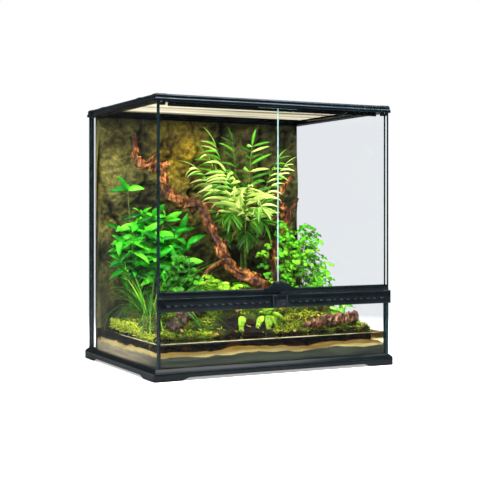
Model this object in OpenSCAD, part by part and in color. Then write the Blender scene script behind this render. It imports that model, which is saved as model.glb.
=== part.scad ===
// Front-opening glass terrarium on a raised black base, planted and half flooded at the front.
// X runs to the right, Y to the back and Z up. The origin is on the ground, below the middle
// of the tank. All sizes are in millimetres.

/* [Tank] */
// Width over the side panes
tank_w = 600; // [590:5:610]
// Depth over the front and back panes
tank_d = 440; // [435:5:450]
// Height from the ground to the top of the rim
total_h = 620; // [600:5:640]
// Thickness of the fixed panes
pane_t = 5; // [4.5:0.5:5.5]
// Thickness of the two door panes
door_t = 4; // [3:0.5:4]

/* [Base and top frames] */
// How far the base stands out past the glass
base_out = 9; // [8:0.5:11]
// Height of the upright part of the base skirt
skirt_h = 17.5; // [17:0.5:19]
// Height of the arches between the feet
arch_h = 6.5; // [4:0.5:8]
// Length of each foot from the corner to its arch
foot_l = 62; // [50:2:80]
// How far the top rim stands out past the glass
top_out = 4; // [3.5:0.5:5]
// Height of the top rim
rim_h = 17; // [16:0.5:18]

/* [Front] */
// Height of the lower edge of the ventilation strip
strip_z = 148; // [140:2:156]
// Height of the ventilation strip
strip_h = 30.6; // [29:0.2:32]
// Height of the rail under each door pane
rail_h = 12.8; // [12:0.2:14]
// Rise of the finger pulls above the rails
pull_h = 15.5; // [12:0.5:18]
// Number of louvres on each side of the lock
louvres = 14; // [10:1:14]

/* [Joints] */
// Radius of the door hinge pins
pin_r = 2; // [1.8:0.1:2.2]
// Radial play between a hinge pin and its moving bore
pin_play = 0.05; // [0.03:0.01:0.09]
// Play beside each sliding piece
slide_play = 0.3; // [0.2:0.05:0.5]

/* [Planting] */
// Height of the water line
water_z = 78.5; // [76:0.5:84]
// Height of the sand under the planted bank
sand_base = 45; // [40:1:50]
// Height that the soil gains from the shore to the back
bank_rise = 62; // [50:2:70]
// Height of the palm above its roots
palm_h = 430; // [400:5:440]
// Height of the left bush above its roots
bush_h = 318; // [280:2:330]
// Height of the grass above its roots
grass_h = 182; // [150:2:200]
// Height of the maidenhair fern above its roots
maidenhair_h = 218; // [180:2:230]

/* [Hidden] */

$fn = 48;
eps = 1;

// Half sizes over and inside the glass
half_w = tank_w / 2;
half_d = tank_d / 2;
in_w = half_w - pane_t;
in_d = half_d - pane_t;

// Base frame
base_w = tank_w + 2 * base_out;
base_d = tank_d + 2 * base_out;
base_h = 26;
base_lip = 0.8;
skirt_t = 3;
corner_r = 6;
ledge_z = 18;
ledge_t = 4;
ledge_w = 20;
foot_block = 30;
ogee_l = 24;
floor_top = ledge_z + pane_t;

// Top frame, seen in section from the outside inwards
rim_z = total_h - rim_h;
cap_t = 0.8;
cap_l = 27;
main_top = total_h - 0.6;
pane_top = rim_z + 7;
web_top = rim_z + 10;
rim_in_w = half_w - 6;
rim_front_y = -half_d + 6;
rim_back_y = half_d - 6;
ledge_in = 16;
stop_z = rim_z - 9;
stop_half = half_w - 30;
stop_y = 7.5;
stop_t = 3.5;

// Screen cover, cable bridge, clips and shutters
cover_gap = 0.5;
cover_back = half_d - 47.5;
cover_top = total_h - 2.8;
cover_bar = 20.5;
mesh_z = web_top + 1;
mesh_pitch = 28;
wire = 1;
clip_l = 24;
clip_w = 7;
clip_pocket = 9.4;
clip_z = total_h - 2.4;
clip_y = 120;
port_x = half_w - 55;
port_l = 56;
port_w = 18;
port_y = half_d - 26;
shutter_l = 62;
shutter_w = 24;
shutter_travel = 58;
shutter_z = total_h - 4;
shutter_t = 2.2;

// Doors: each turns about an upright pin beside its side pane
pivot_x = half_w - 10.5;
pivot_y = -half_d;
door_lift = 0.6;
rail_z = strip_z + strip_h + door_lift;
rail_top = rail_z + rail_h;
rail_front = 7;
rail_back = 8.5;
end_r = 4.8;
pull_foot = 42;
pull_run = 29;
pull_ridge = 16;
door_gap = 1;
glass_n = 3;
glass_s = -4;
glass_z = rail_z + 2;
glass_top = rim_z - 3;
cap_z = rim_z - 7.6;
cap_top = rim_z - 0.6;
door_l = pivot_x - door_gap / 2;

// Front strip and lock
strip_top = strip_z + strip_h;
strip_front = half_d + 7;
strip_over = 1.5;
strip_wall = 3;
strip_depth = 16;
slot_l = 11;
slot_h = 3.5;
slot_z = 14;
slot_pitch = 18.6;
slot_start = 34;
lock_half = 22;
slide_half = 15;
lock_t = 1.3;
slide_t = 3;
lock_z = strip_z + 2;
lock_top = strip_top - 1;

// Hinge pins: how deep each sits in the strip, the rail, the door cap and the top frame
pin_in_strip = 14;
pin_in_rail = 8;
pin_in_cap = 5;
pin_in_top = 6.5;

// Colours
plastic = "#0d1517";
glass = [0.82, 0.93, 0.92, 0.3];
wood = "#8a5a35";

// The planting is drawn for this half width, half depth and water line, and moves with the tank
plan_w = 300;
plan_d = 220;
plan_water = 78.5;

// ---------------------------------------------------------------- curves and surfaces

// A place in the planting, from the plan's own numbers
function spot(x, y, z) = [x * half_w / plan_w, y * half_d / plan_d, z + water_z - plan_water];
function route(points) = [for (p = points) spot(p[0], p[1], p[2])];

function unit(v) = v / norm(v);
function clamp01(t) = min(1, max(0, t));
function ease(t) = let (c = clamp01(t)) c * c * (3 - 2 * c);
function wave(a, b) = sin(a) * cos(b * 1.37 + 40) + 0.5 * sin(a * 2.3 + b * 1.9 + 25);
function bend(a, c, b, t) = a * pow(1 - t, 2) + c * 2 * t * (1 - t) + b * pow(t, 2);
// A point on the curve above, drawn as four straight stretches
function chord(a, c, b, t) = let (k = min(3, floor(4 * t)), f = 4 * t - k)
    (1 - f) * bend(a, c, b, k / 4) + f * bend(a, c, b, (k + 1) / 4);
function side_of(d) = unit(cross(d, abs(unit(d)[2]) > 0.98 ? [0, 1, 0] : [0, 0, 1]));

// A closed tube through points p with a radius r at each and a number of flat sides
module tube(p, r, sides = 6, rough = 0) {
    last = len(p) - 1;
    along = [for (i = [0:last]) unit(p[min(last, i + 1)] - p[max(0, i - 1)])];
    ring = [for (i = [0:last]) let (
        u = unit(cross(along[i], [0.12, 1, 0.07])),
        v = cross(along[i], u))
        for (k = [0:sides - 1]) let (
            a = 360 * k / sides,
            q = r[i] * (1 + rough * sin(137 * k + 71 * i)))
            p[i] + q * (cos(a) * u + sin(a) * v)];
    walls = [for (i = [0:last - 1]) for (k = [0:sides - 1]) let (
        a = i * sides + k,
        b = i * sides + (k + 1) % sides)
        each [[a, a + sides, b], [b, a + sides, b + sides]]];
    caps = [[for (k = [0:sides - 1]) k], [for (k = [sides - 1:-1:0]) last * sides + k]];
    polyhedron(ring, concat(walls, caps), convexity = 6);
}

// One leaf: a thin blade from its base to its tip, widest at 0.45 of its length
module leaf(base, tip, side, width, bow = 0, thick = 0.7) {
    d = unit(tip - base);
    up = unit(cross(d, side));
    mid = base + (tip - base) * 0.45 + up * bow;
    polyhedron([base, mid + side * width / 2, tip, mid - side * width / 2,
        mid + up * thick, mid - up * thick],
        [[0, 1, 4], [1, 2, 4], [2, 3, 4], [3, 0, 4], [0, 5, 1], [1, 5, 2], [2, 5, 3], [3, 5, 0]]);
}

// A feathered frond that arches from root to tip with pairs of leaflets
module frond(root, tip, lift, pairs, leaflet_l, leaflet_w, stem_r = 1.3, bare = 0.25, fall = 0.25) {
    ctrl = (root + tip) / 2 + [0, 0, lift];
    tube([for (t = [0:0.25:1]) bend(root, ctrl, tip, t)],
        [for (t = [0:0.25:1]) stem_r * (1 - 0.6 * t)], 4);
    for (k = [0:pairs - 1]) {
        t = bare + (0.97 - bare) * k / (pairs - 1);
        at = chord(root, ctrl, tip, t);
        d = unit(bend(root, ctrl, tip, t + 0.03) - bend(root, ctrl, tip, t));
        s = side_of(d);
        l = leaflet_l * (0.55 + 0.45 * sin(180 * k / (pairs - 1)));
        for (m = [-1, 1])
            leaf(at, at + l * unit(0.6 * d + m * 0.85 * s + [0, 0, -fall]), unit(d - 0.5 * m * s),
                leaflet_w, 0.06 * l);
    }
}

// A plant whose shape is drawn out to its full height above its roots
module grown(height) {
    resize([0, 0, height]) children();
}

// Thickness of the rock panel at its foot
rock_foot = 40;

// Grid that the sand, water, soil and moss share, with a wavy shore
grid_x = concat([-in_w, -in_w + 7], [for (i = [0:15]) (-264 + 36 * i) * half_w / plan_w], [in_w - 7, in_w]);
grid_y = concat([-in_d, -in_d + 7],
    [for (y = [-184, -148, -118, -82, -42, 0, 50, 105]) y * half_d / plan_d], [in_d - rock_foot]);
cells_x = len(grid_x) - 1;
cells_y = len(grid_y) - 1;
shore_i = 2;
shore_j = 3;
seam_pull = 3.3;
seam_leg = 6.4;

function shore_wave(i, j) = j < 2 || j > 5 ? 0 : (j == shore_j ? 9 : 5) * sin(i * 57 + 20);
function grid_point(i, j) = let (
    corner = j == 0 && (i == 0 || i == cells_x) ? seam_pull : 0,
    pull = i == 0 ? corner : -corner)
    [grid_x[i] + pull, grid_y[j] + corner + shore_wave(i, j)];
function is_land(i, j) = i >= shore_i && j >= shore_j;

// Surface heights at a grid point
function sand_height(i, j) = i >= shore_i && j >= shore_j ? sand_base
    : let (x = grid_x[i], y = grid_y[j])
        j == 0 || i == 0 ? sand_base + 3 + 2.5 * sin(x * 1.7 + y * 0.9 + 30) + 1.5 * sin(x * 4.1)
        : sand_base + 14 + 5 * wave(x * 1.3, y * 2.1) - 9 * ease((-170 - y) / 45);
function soil_at(x, y) = let (low = 1 - 0.6 * ease((x - 120) / 120) * (1 - ease((y + 20) / 100)))
    water_z + 1 + (bank_rise * low + 5 * wave(x * 1.1, y * 1.7)) * ease((y + 150) / 150)
        * ease((x + half_w) / 110);
function soil_height(i, j) = soil_at(grid_x[i], grid_y[j]);

// A place in the planting, this far above the soil that lies there
function rooted(x, y, over) = let (p = spot(x, y, 0)) [p[0], p[1], soil_at(p[0], p[1]) + over];

function moss_height(i, j) = soil_height(i, j) + 5 + 2.2 * abs(wave(i * 67, j * 53));

// A layer over the cells chosen by inside(i, j), between two height functions
module layer(inside, low, high) {
    function at(i, j, up) = 2 * (i * (cells_y + 1) + j) + up;
    points = [for (i = [0:cells_x]) for (j = [0:cells_y]) let (q = grid_point(i, j))
        each [[q[0], q[1], low(i, j)], [q[0], q[1], high(i, j)]]];
    function solid(i, j) = i >= 0 && j >= 0 && i < cells_x && j < cells_y && inside(i, j);
    function wall(a, b, c, d) = [at(a, b, 0), at(a, b, 1), at(c, d, 1), at(c, d, 0)];
    faces = [for (i = [0:cells_x - 1]) for (j = [0:cells_y - 1]) if (solid(i, j)) each concat(
        [[at(i, j, 1), at(i, j + 1, 1), at(i + 1, j + 1, 1)],
            [at(i, j, 1), at(i + 1, j + 1, 1), at(i + 1, j, 1)],
            [at(i, j, 0), at(i + 1, j + 1, 0), at(i, j + 1, 0)],
            [at(i, j, 0), at(i + 1, j, 0), at(i + 1, j + 1, 0)]],
        solid(i, j - 1) ? [] : [wall(i, j, i + 1, j)],
        solid(i, j + 1) ? [] : [wall(i + 1, j + 1, i, j + 1)],
        solid(i - 1, j) ? [] : [wall(i, j + 1, i, j)],
        solid(i + 1, j) ? [] : [wall(i + 1, j, i + 1, j + 1)])];
    polyhedron(points, faces, convexity = 8);
}

// ---------------------------------------------------------------- frames

// Outline of a block whose steps give [inset, height] from the bottom up
function step_outline(w, steps) = concat(
    [for (s = steps) [w / 2 - s[0], s[1]]],
    [for (i = [len(steps) - 1:-1:0]) [steps[i][0] - w / 2, steps[i][1]]]);

// A block with the same stepped sides all round, mitred at the corners
module mitred_block(w, d, steps) {
    intersection() {
        rotate([90, 0, 0]) linear_extrude(d, center = true) polygon(step_outline(w, steps));
        rotate([90, 0, 90]) linear_extrude(w, center = true) polygon(step_outline(d, steps));
    }
}

// A box from one corner to the opposite corner
module block(from, to) {
    translate(from) cube(to - from);
}

module mirrored(v = [1, 0, 0]) {
    children();
    mirror(v) children();
}

module rounded_prism(w, d, r, h) {
    linear_extrude(h) union() {
        square([w - 2 * r, d], center = true);
        square([w, d - 2 * r], center = true);
        for (x = [-1, 1]) for (y = [-1, 1])
            translate([x * (w / 2 - r), y * (d / 2 - r)]) circle(r);
    }
}

// Raised middle of a skirt between its two feet, drawn as an ogee at each end
function arch_outline(length) = let (
    start = length / 2 - foot_l,
    rise = [for (t = [0:6]) [start - ogee_l * t / 6, arch_h * (1 - cos(30 * t)) / 2]])
    concat([[start, -eps]], rise, [for (i = [6:-1:0]) [-rise[i][0], rise[i][1]]],
        [[-start, -eps]]);

module base_frame() {
    color(plastic) union() {
        difference() {
            intersection() {
                mitred_block(base_w, base_d, [[0, 0], [0, skirt_h], [base_out - base_lip, base_h]]);
                rounded_prism(base_w, base_d, corner_r, base_h);
            }
            block([-half_w, -half_d, ledge_z], [half_w, half_d, base_h + eps]);
            block([-base_w / 2 + skirt_t, -base_d / 2 + skirt_t, -eps],
                [base_w / 2 - skirt_t, base_d / 2 - skirt_t, ledge_z - ledge_t]);
            block([-half_w + ledge_w, -half_d + ledge_w, 0],
                [half_w - ledge_w, half_d - ledge_w, base_h]);
            rotate([90, 0, 0]) linear_extrude(base_d + 2, center = true)
                polygon(arch_outline(base_w));
            rotate([90, 0, 90]) linear_extrude(base_w + 2, center = true)
                polygon(arch_outline(base_d));
        }
        for (x = [-1, 1]) for (y = [-1, 1])
            translate([x * (base_w / 2 - skirt_t / 2 - foot_block / 2),
                y * (base_d / 2 - skirt_t / 2 - foot_block / 2), (ledge_z - ledge_t / 2) / 2])
                cube([foot_block, foot_block, ledge_z - ledge_t / 2], center = true);
    }
}

top_steps = [[0, rim_z], [0, rim_z + 6], [1.6, rim_z + 7.5], [1.6, total_h - 3.5], [4, main_top]];
cap_steps = [[0, rim_z], [0, rim_z + 6], [1.6, rim_z + 7.5], [1.6, total_h - 3.3], [3.8, total_h]];

module rim_recess() {
    block([-rim_in_w, rim_front_y, web_top], [rim_in_w, rim_back_y, total_h + eps]);
}

module top_frame() {
    color(plastic) difference() {
        union() {
            mitred_block(tank_w + 2 * (top_out - cap_t), tank_d + 2 * (top_out - cap_t), top_steps);
            block([-stop_half, -half_d + stop_y, stop_z],
                [stop_half, -half_d + stop_y + stop_t, rim_z + eps]);
        }
        rim_recess();
        block([-rim_in_w + ledge_in, rim_front_y + ledge_in, rim_z - eps],
            [rim_in_w - ledge_in, rim_back_y - ledge_in / 2, total_h]);
        // Room for the side and back panes and the hollow behind their inner lip
        block([-half_w, -half_d, rim_z - eps], [-in_w, half_d, pane_top]);
        block([in_w, -half_d, rim_z - eps], [half_w, half_d, pane_top]);
        block([-half_w, in_d, rim_z - eps], [half_w, half_d, pane_top]);
        for (x = [-1, 1]) {
            translate([x * pivot_x, pivot_y, rim_z - eps]) cylinder(r = pin_r, h = pin_in_top + eps);
            for (y = [-1, 1])
                translate([x * (rim_in_w + clip_pocket / 2 - 0.1), y * clip_y, clip_z + 2])
                    cube([clip_pocket, clip_l + 2 * slide_play, 4.2], center = true);
        }
    }
}

module rim_corners() {
    color(plastic) difference() {
        intersection() {
            mitred_block(tank_w + 2 * top_out, tank_d + 2 * top_out, cap_steps);
            for (x = [-1, 1]) for (y = [-1, 1])
                translate([x * (half_w + top_out - cap_l / 2), y * (half_d + top_out - cap_l / 2),
                    total_h - rim_h / 2])
                    cube([cap_l, cap_l, rim_h + 2], center = true);
        }
        mitred_block(tank_w + 2 * (top_out - cap_t), tank_d + 2 * (top_out - cap_t), top_steps);
        block([-half_w, -half_d, rim_z - eps], [half_w, half_d, main_top]);
        rim_recess();
    }
}

// Bar across the back of the top with one cable port on each side
module cable_bridge() {
    color(plastic) difference() {
        block([-rim_in_w, cover_back + cover_gap, web_top], [rim_in_w, rim_back_y, main_top]);
        mirrored() {
            block([-port_x - port_l / 2, port_y - port_w / 2, rim_z],
                [-port_x + port_l / 2, port_y + port_w / 2, total_h + eps]);
            block([-port_x - shutter_l / 2 - slide_play, port_y - shutter_w / 2 - slide_play, shutter_z],
                [-port_x + shutter_l / 2 + shutter_travel + slide_play,
                    port_y + shutter_w / 2 + slide_play, total_h + eps]);
        }
    }
}

module port_shutter() {
    color(plastic) union() {
        block([-port_x - shutter_l / 2, port_y - shutter_w / 2, shutter_z],
            [-port_x + shutter_l / 2, port_y + shutter_w / 2, shutter_z + shutter_t]);
        for (x = [-8, 0, 8])
            block([-port_x + x - 1, port_y - 8, shutter_z], [-port_x + x + 1, port_y + 8, total_h]);
    }
}

module cover_frame() {
    color(plastic) difference() {
        block([-rim_in_w + cover_gap, rim_front_y + cover_gap, web_top],
            [rim_in_w - cover_gap, cover_back, cover_top]);
        block([-rim_in_w + cover_bar, rim_front_y + cover_bar, web_top - eps],
            [rim_in_w - cover_bar, cover_back - cover_bar + cover_gap, cover_top + eps]);
    }
}

module cover_mesh() {
    x1 = rim_in_w - cover_bar;
    y0 = rim_front_y + cover_bar;
    y1 = cover_back - cover_bar + cover_gap;
    across = round(2 * x1 / mesh_pitch);
    deep = round((y1 - y0) / mesh_pitch);
    color("#b9b4a4") translate([0, 0, mesh_z]) linear_extrude(wire) union() {
        for (i = [0:across])
            translate([-x1 + i * (2 * x1 - wire) / across, y0]) square([wire, y1 - y0]);
        for (j = [0:deep])
            translate([-x1, y0 + j * (y1 - y0 - wire) / deep]) square([2 * x1, wire]);
    }
}

module cover_clip(x, y) {
    inner = rim_in_w + 1.4;
    color(plastic) translate([0, y * clip_y, 0]) union() {
        block([min(x * inner, x * (inner + clip_w)), -clip_l / 2, clip_z],
            [max(x * inner, x * (inner + clip_w)), clip_l / 2, total_h - 0.8]);
        for (k = [2, 4.5])
            block([x * (inner + k) - 0.5, -clip_l / 2 + 2, clip_z],
                [x * (inner + k) + 0.5, clip_l / 2 - 2, total_h]);
    }
}

// ---------------------------------------------------------------- panes and seams

module bottom_glass() {
    color(glass) block([-in_w, -in_d, ledge_z], [in_w, in_d, floor_top]);
}

module back_glass() {
    color(glass) block([-in_w, in_d, ledge_z], [in_w, half_d, pane_top]);
}

module side_glass() {
    color(glass) block([-half_w, -half_d, ledge_z], [-in_w, half_d, pane_top]);
}

module front_glass() {
    color(glass) block([-in_w, -half_d, ledge_z], [in_w, -in_d, strip_z + 4]);
}

// Black fillets of sealant up the four inner corners
module silicone_seams() {
    color("#101414") mirrored() {
        translate([-in_w, -in_d, floor_top]) linear_extrude(strip_z - floor_top)
            polygon([[0, 0], [seam_leg, 0], [0, seam_leg]]);
        translate([-in_w, in_d, floor_top]) linear_extrude(rim_z - floor_top)
            polygon([[0, 0], [0, -seam_leg], [seam_leg, 0]]);
    }
}

// ---------------------------------------------------------------- front strip, lock and hinges

module louvre() {
    rotate([90, 0, 0]) linear_extrude(2 * strip_wall, center = true)
        polygon([[-slot_l / 2, -slot_h / 2], [slot_l / 2 - 2.5, -slot_h / 2],
            [slot_l / 2, slot_h / 2], [-slot_l / 2 + 2.5, slot_h / 2]]);
}

module vent_strip() {
    back = -strip_front + strip_depth;
    inner_end = in_w - slide_play;
    color(plastic) difference() {
        union() {
            rotate([90, 0, 90]) linear_extrude(2 * (half_w + strip_over), center = true)
                polygon([[1 - strip_front, strip_z], [-strip_front, strip_z + 1.5],
                    [-strip_front, strip_top - 1.5], [1 - strip_front, strip_top],
                    [-half_d, strip_top], [-half_d, strip_z]]);
            block([-inner_end, -half_d - eps, strip_z], [inner_end, back, strip_top]);
        }
        block([-in_w, -half_d, strip_z - eps], [in_w, -in_d, strip_z + 4]);
        block([-pivot_x + 9, -strip_front + strip_wall, strip_z + 7],
            [pivot_x - 9, back + eps, strip_top - strip_wall]);
        mirrored() {
            translate([-pivot_x, pivot_y, strip_top - pin_in_strip])
                cylinder(r = pin_r, h = pin_in_strip + eps);
            for (k = [0:louvres - 1])
                translate([slot_start + k * slot_pitch, -strip_front + strip_wall / 2, strip_z + slot_z])
                    louvre();
        }
    }
}

// Flat housing with two guides that hold the sliding catch
module lock_plate() {
    color(plastic) union() {
        block([-lock_half, -strip_front - lock_t, lock_z], [lock_half, -strip_front, lock_top]);
        mirrored() {
            block([slide_half + slide_play, -strip_front - lock_t - slide_t - 1.8, lock_z],
                [lock_half, -strip_front - lock_t + 0.5, lock_top]);
            block([slide_half - 2, -strip_front - lock_t - slide_t - 1.8, lock_z],
                [slide_half + 1, -strip_front - lock_t - slide_t - 2 * slide_play, lock_top]);
        }
    }
}

module lock_slide() {
    front = -strip_front - lock_t - slide_t - slide_play;
    color(plastic) union() {
        block([-slide_half, front, lock_z + 2], [slide_half, front + slide_t, lock_top]);
        for (z = [6, 10, 14])
            block([-slide_half + 4, front - 1.5, lock_z + z],
                [slide_half - 4, front + eps, lock_z + z + 1.6]);
    }
}

module lower_hinge_pins() {
    color("#b8bcc0") mirrored()
        translate([-pivot_x, pivot_y, strip_top - pin_in_strip])
            cylinder(r = pin_r, h = pin_in_strip + door_lift + pin_in_rail);
}

module upper_hinge_pins() {
    color("#b8bcc0") mirrored()
        translate([-pivot_x, pivot_y, cap_top - pin_in_cap])
            cylinder(r = pin_r, h = pin_in_cap + rim_z - cap_top + pin_in_top);
}

// ---------------------------------------------------------------- doors, drawn as the left one

// Plan of a rail or hinge cap in the door's own axes, from its round hinge end
module hinged_plan(length, front, back) {
    union() {
        circle(end_r);
        polygon([[0, -end_r], [6, -front], [length, -front], [length, back], [0, back],
            [-3.8, back - 3], [-3.8, 0]]);
    }
}

module at_pivot() {
    translate([-pivot_x, pivot_y, 0]) children();
}

module door_glass_body() {
    block([glass_s, glass_n, glass_z], [door_l, glass_n + door_t, glass_top]);
}

module door_glass() {
    color(glass) at_pivot() door_glass_body();
}

// Outline of a finger pull with a concave flank, rising beside the gap between the doors
function pull_outline() = let (
    foot = door_l - pull_foot,
    flank = [for (t = [0:0.125:1]) [foot + pull_run * t, rail_top + pull_h * pow(t, 1.7)]])
    concat([[door_l, rail_z + 6], [door_l, rail_top + pull_h]],
        [for (i = [8:-1:0]) flank[i]], [[foot, rail_z + 6]]);

module pull(from, proud) {
    intersection() {
        rotate([90, 0, 0]) linear_extrude(40) polygon(pull_outline());
        translate([from, 0, 0]) rotate([90, 0, 90]) linear_extrude(door_l - from)
            polygon([[glass_n, rail_z + 6], [glass_n, rail_top + pull_h],
                [-3 - proud / 6, rail_top + pull_h], [-rail_front - proud, rail_z + 8.4],
                [-rail_front + 0.5, rail_z + 6.4]]);
    }
}

module door_rail() {
    color(plastic) at_pivot() difference() {
        union() {
            intersection() {
                translate([0, 0, rail_z]) linear_extrude(rail_h)
                    hinged_plan(door_l, rail_front, rail_back);
                rotate([90, 0, 90]) translate([0, 0, -10]) linear_extrude(door_l + 10)
                    polygon([[rail_back, rail_z], [rail_back, rail_top], [-rail_front + 1.6, rail_top],
                        [-rail_front, rail_top - 2], [-rail_front, rail_z + 1], [-rail_front + 1, rail_z]]);
            }
            pull(door_l - pull_foot, 7);
            pull(door_l - pull_ridge, 10);
        }
        door_glass_body();
        translate([0, 0, rail_z - eps])
            cylinder(r = pin_r + pin_play, h = pin_in_rail + 1 + eps);
    }
}

module hinge_cap() {
    color(plastic) at_pivot() difference() {
        translate([0, 0, cap_z]) linear_extrude(cap_top - cap_z) hinged_plan(9, 2.5, rail_back);
        door_glass_body();
        translate([0, 0, cap_top - pin_in_cap - 0.4]) cylinder(r = pin_r + pin_play, h = 10);
    }
}

// ---------------------------------------------------------------- ground and water

module sand_bed() {
    color("#cbb485") layer(function(i, j) true, function(i, j) floor_top,
        function(i, j) sand_height(i, j));
}

module water() {
    color([0.45, 0.47, 0.28, 0.5]) layer(function(i, j) !is_land(i, j),
        function(i, j) sand_height(i, j), function(i, j) water_z);
}

module soil_bank() {
    color("#3b2c1c") layer(function(i, j) is_land(i, j), function(i, j) sand_base,
        function(i, j) soil_height(i, j));
}

module moss_carpet() {
    color("#7c9a2a") layer(function(i, j) is_land(i, j), function(i, j) soil_height(i, j),
        function(i, j) moss_height(i, j));
}

module moss_mound() {
    color("#a3b52e") hull() for (k = [0:6])
        translate(spot(98 + 20 * k, -92 + 14 * sin(70 * k), 96 + 5 * sin(30 * k)))
            sphere(17 + 3 * sin(110 * k), $fn = 10);
}

// Rock relief: thick and level at the foot, thin under the cable ports
function rock_depth(x, z) = z < 150 ? rock_foot
    : z > rim_z - 30 ? 11
    : 23 + 9 * wave(x * 0.9 + 30, z * 0.8) + 4 * sin(x * 2.9 + z * 1.7);

module background_panel() {
    edge = in_w - 10;
    nx = 19;
    rows = concat([floor_top, 150], [for (k = [0:16]) 165 + k * 25.5], [rim_z - 3]);
    nz = len(rows) - 1;
    points = concat(
        [for (i = [0:nx]) for (j = [0:nz]) let (x = -edge + 2 * edge * i / nx)
            [x, in_d - (j < 2 ? rock_foot : rock_depth(x, rows[j])), rows[j]]],
        [for (x = [-edge, edge]) for (z = [floor_top, rim_z - 3]) [x, in_d, z]]);
    function f(i, j) = i * (nz + 1) + j;
    back = (nx + 1) * (nz + 1);
    faces = concat(
        [for (i = [0:nx - 1]) for (j = [0:nz - 1]) each
            [[f(i, j), f(i, j + 1), f(i + 1, j + 1)], [f(i, j), f(i + 1, j + 1), f(i + 1, j)]]],
        [concat([back], [back + 1], [for (j = [nz:-1:0]) f(0, j)]),
            concat([back + 3], [back + 2], [for (j = [0:nz]) f(nx, j)]),
            concat([back + 2], [back], [for (i = [0:nx]) f(i, 0)]),
            concat([back + 1], [back + 3], [for (i = [nx:-1:0]) f(i, nz)]),
            [back, back + 2, back + 3, back + 1]]);
    color("#6f6a3a") polyhedron(points, faces, convexity = 6);
}

// ---------------------------------------------------------------- wood

main_path = [[-217, 122, 552], [-213, 124, 520], [-212, 124, 497], [-184, 120, 481],
    [-155, 115, 475], [-144, 105, 441], [-133, 95, 408], [-100, 85, 390], [-63, 70, 378],
    [-45, 55, 333], [-27, 40, 287], [-15, 25, 248], [9, 10, 219], [56, -10, 190],
    [82, -18, 168], [96, -24, 112]];
main_radius = [3, 5, 8, 10, 10, 9, 10, 11, 11, 10, 11, 11, 12, 12, 13, 15];

module main_branch() {
    color(wood) grown_wood() {
        tube(route(main_path), main_radius, 8, 0.12);
        tube(route([[-184, 120, 481], [-176, 112, 498], [-160, 108, 512]]), [6, 4, 1.5], 6, 0.1);
        tube(route([[-155, 115, 475], [-140, 110, 484], [-128, 108, 486]]), [8, 7, 4], 6, 0.1);
        tube(route([[-63, 70, 378], [-40, 62, 384], [-22, 58, 372], [-8, 56, 350]]), [7, 6, 4, 1.5], 6, 0.1);
        tube(route([[-27, 40, 287], [0, 36, 296], [26, 36, 318]]), [7, 5, 2], 6, 0.1);
        tube(route([[-15, 25, 248], [-48, 14, 232], [-84, 8, 206], [-112, 0, 165]]), [8, 7, 6, 5], 6, 0.1);
    }
}

upright_path = [[214, 100, 458], [190, 100, 430], [169, 100, 403], [182, 98, 380],
    [199, 95, 361], [187, 90, 325], [173, 85, 293], [156, 79, 264], [150, 75, 240],
    [158, 70, 180], [160, 66, 118]];

module upright_branch() {
    color(wood) grown_wood() {
        tube(route(upright_path), [2.5, 5, 8, 9, 9, 8, 8, 9, 10, 12, 14], 8, 0.12);
        tube(route([[199, 95, 361], [218, 98, 377], [238, 102, 402]]), [7, 5, 2], 6, 0.1);
        tube(route([[199, 95, 364], [158, 94, 346], [122, 90, 327], [96, 88, 322]]), [7, 8, 7, 4], 6, 0.1);
        tube(route([[150, 75, 240], [136, 66, 266], [134, 60, 292]]), [7, 5, 2], 6, 0.1);
    }
}

// Joins the limbs of a branch into one piece of wood
module grown_wood() {
    resize([0, 0, 0]) union() children();
}

module left_log() {
    color("#3a2a1e") tube(route([[-214, -96, 92], [-190, -80, 104], [-160, -66, 120], [-132, -56, 134],
        [-112, -48, 138]]), [12, 15, 16, 15, 12], 10, 0.08);
}

module right_log() {
    color("#7a4a2c") tube(route([[122, -128, 92], [150, -130, 96], [185, -128, 97], [222, -132, 96],
        [258, -134, 100]]), [7, 10, 11, 11, 9], 10, 0.08);
}

// ---------------------------------------------------------------- plants, each on its own roots

// [direction, reach, height of the tip, lift] of each palm frond
palm_fronds = [[170, 128, 362, 60], [150, 70, 418, 40], [128, 30, 430, 20], [40, 60, 425, 40],
    [8, 122, 400, 60], [350, 158, 330, 70], [265, 96, 300, 60],
    [305, 112, 262, 60]];

module palm() {
    color("#58a62a") translate(rooted(62, 78, -16.4)) grown(palm_h) {
        tube([[0, 0, -12], [0, 0, -4], [0, 0, 8]], [8, 11, 6], 8);
        for (k = [0:3])
            tube([[6 * cos(90 * k), 6 * sin(90 * k), -10], [9 * cos(90 * k), 9 * sin(90 * k), 90],
                [4 * cos(90 * k), 4 * sin(90 * k), 190]], [4, 3.4, 2.6], 6);
        for (k = [0:len(palm_fronds) - 1]) {
            p = palm_fronds[k];
            start = [4 * cos(90 * k), 4 * sin(90 * k), 150 + 10 * (k % 4)];
            frond(start, [p[1] * cos(p[0]), p[1] * sin(p[0]), p[2] - 10], p[3], 5, 60, 17, 1.8, 0.4);
        }
    }
}

// Where each whorl of the bush sits: [x, y, z] above the roots
bush_whorls = [[-12, 8, 300], [26, 20, 262], [-22, 30, 226], [52, 4, 200],
    [-16, -34, 170], [78, 22, 158], [-24, 12, 118], [44, -34, 132], [92, -14, 108]];

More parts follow.
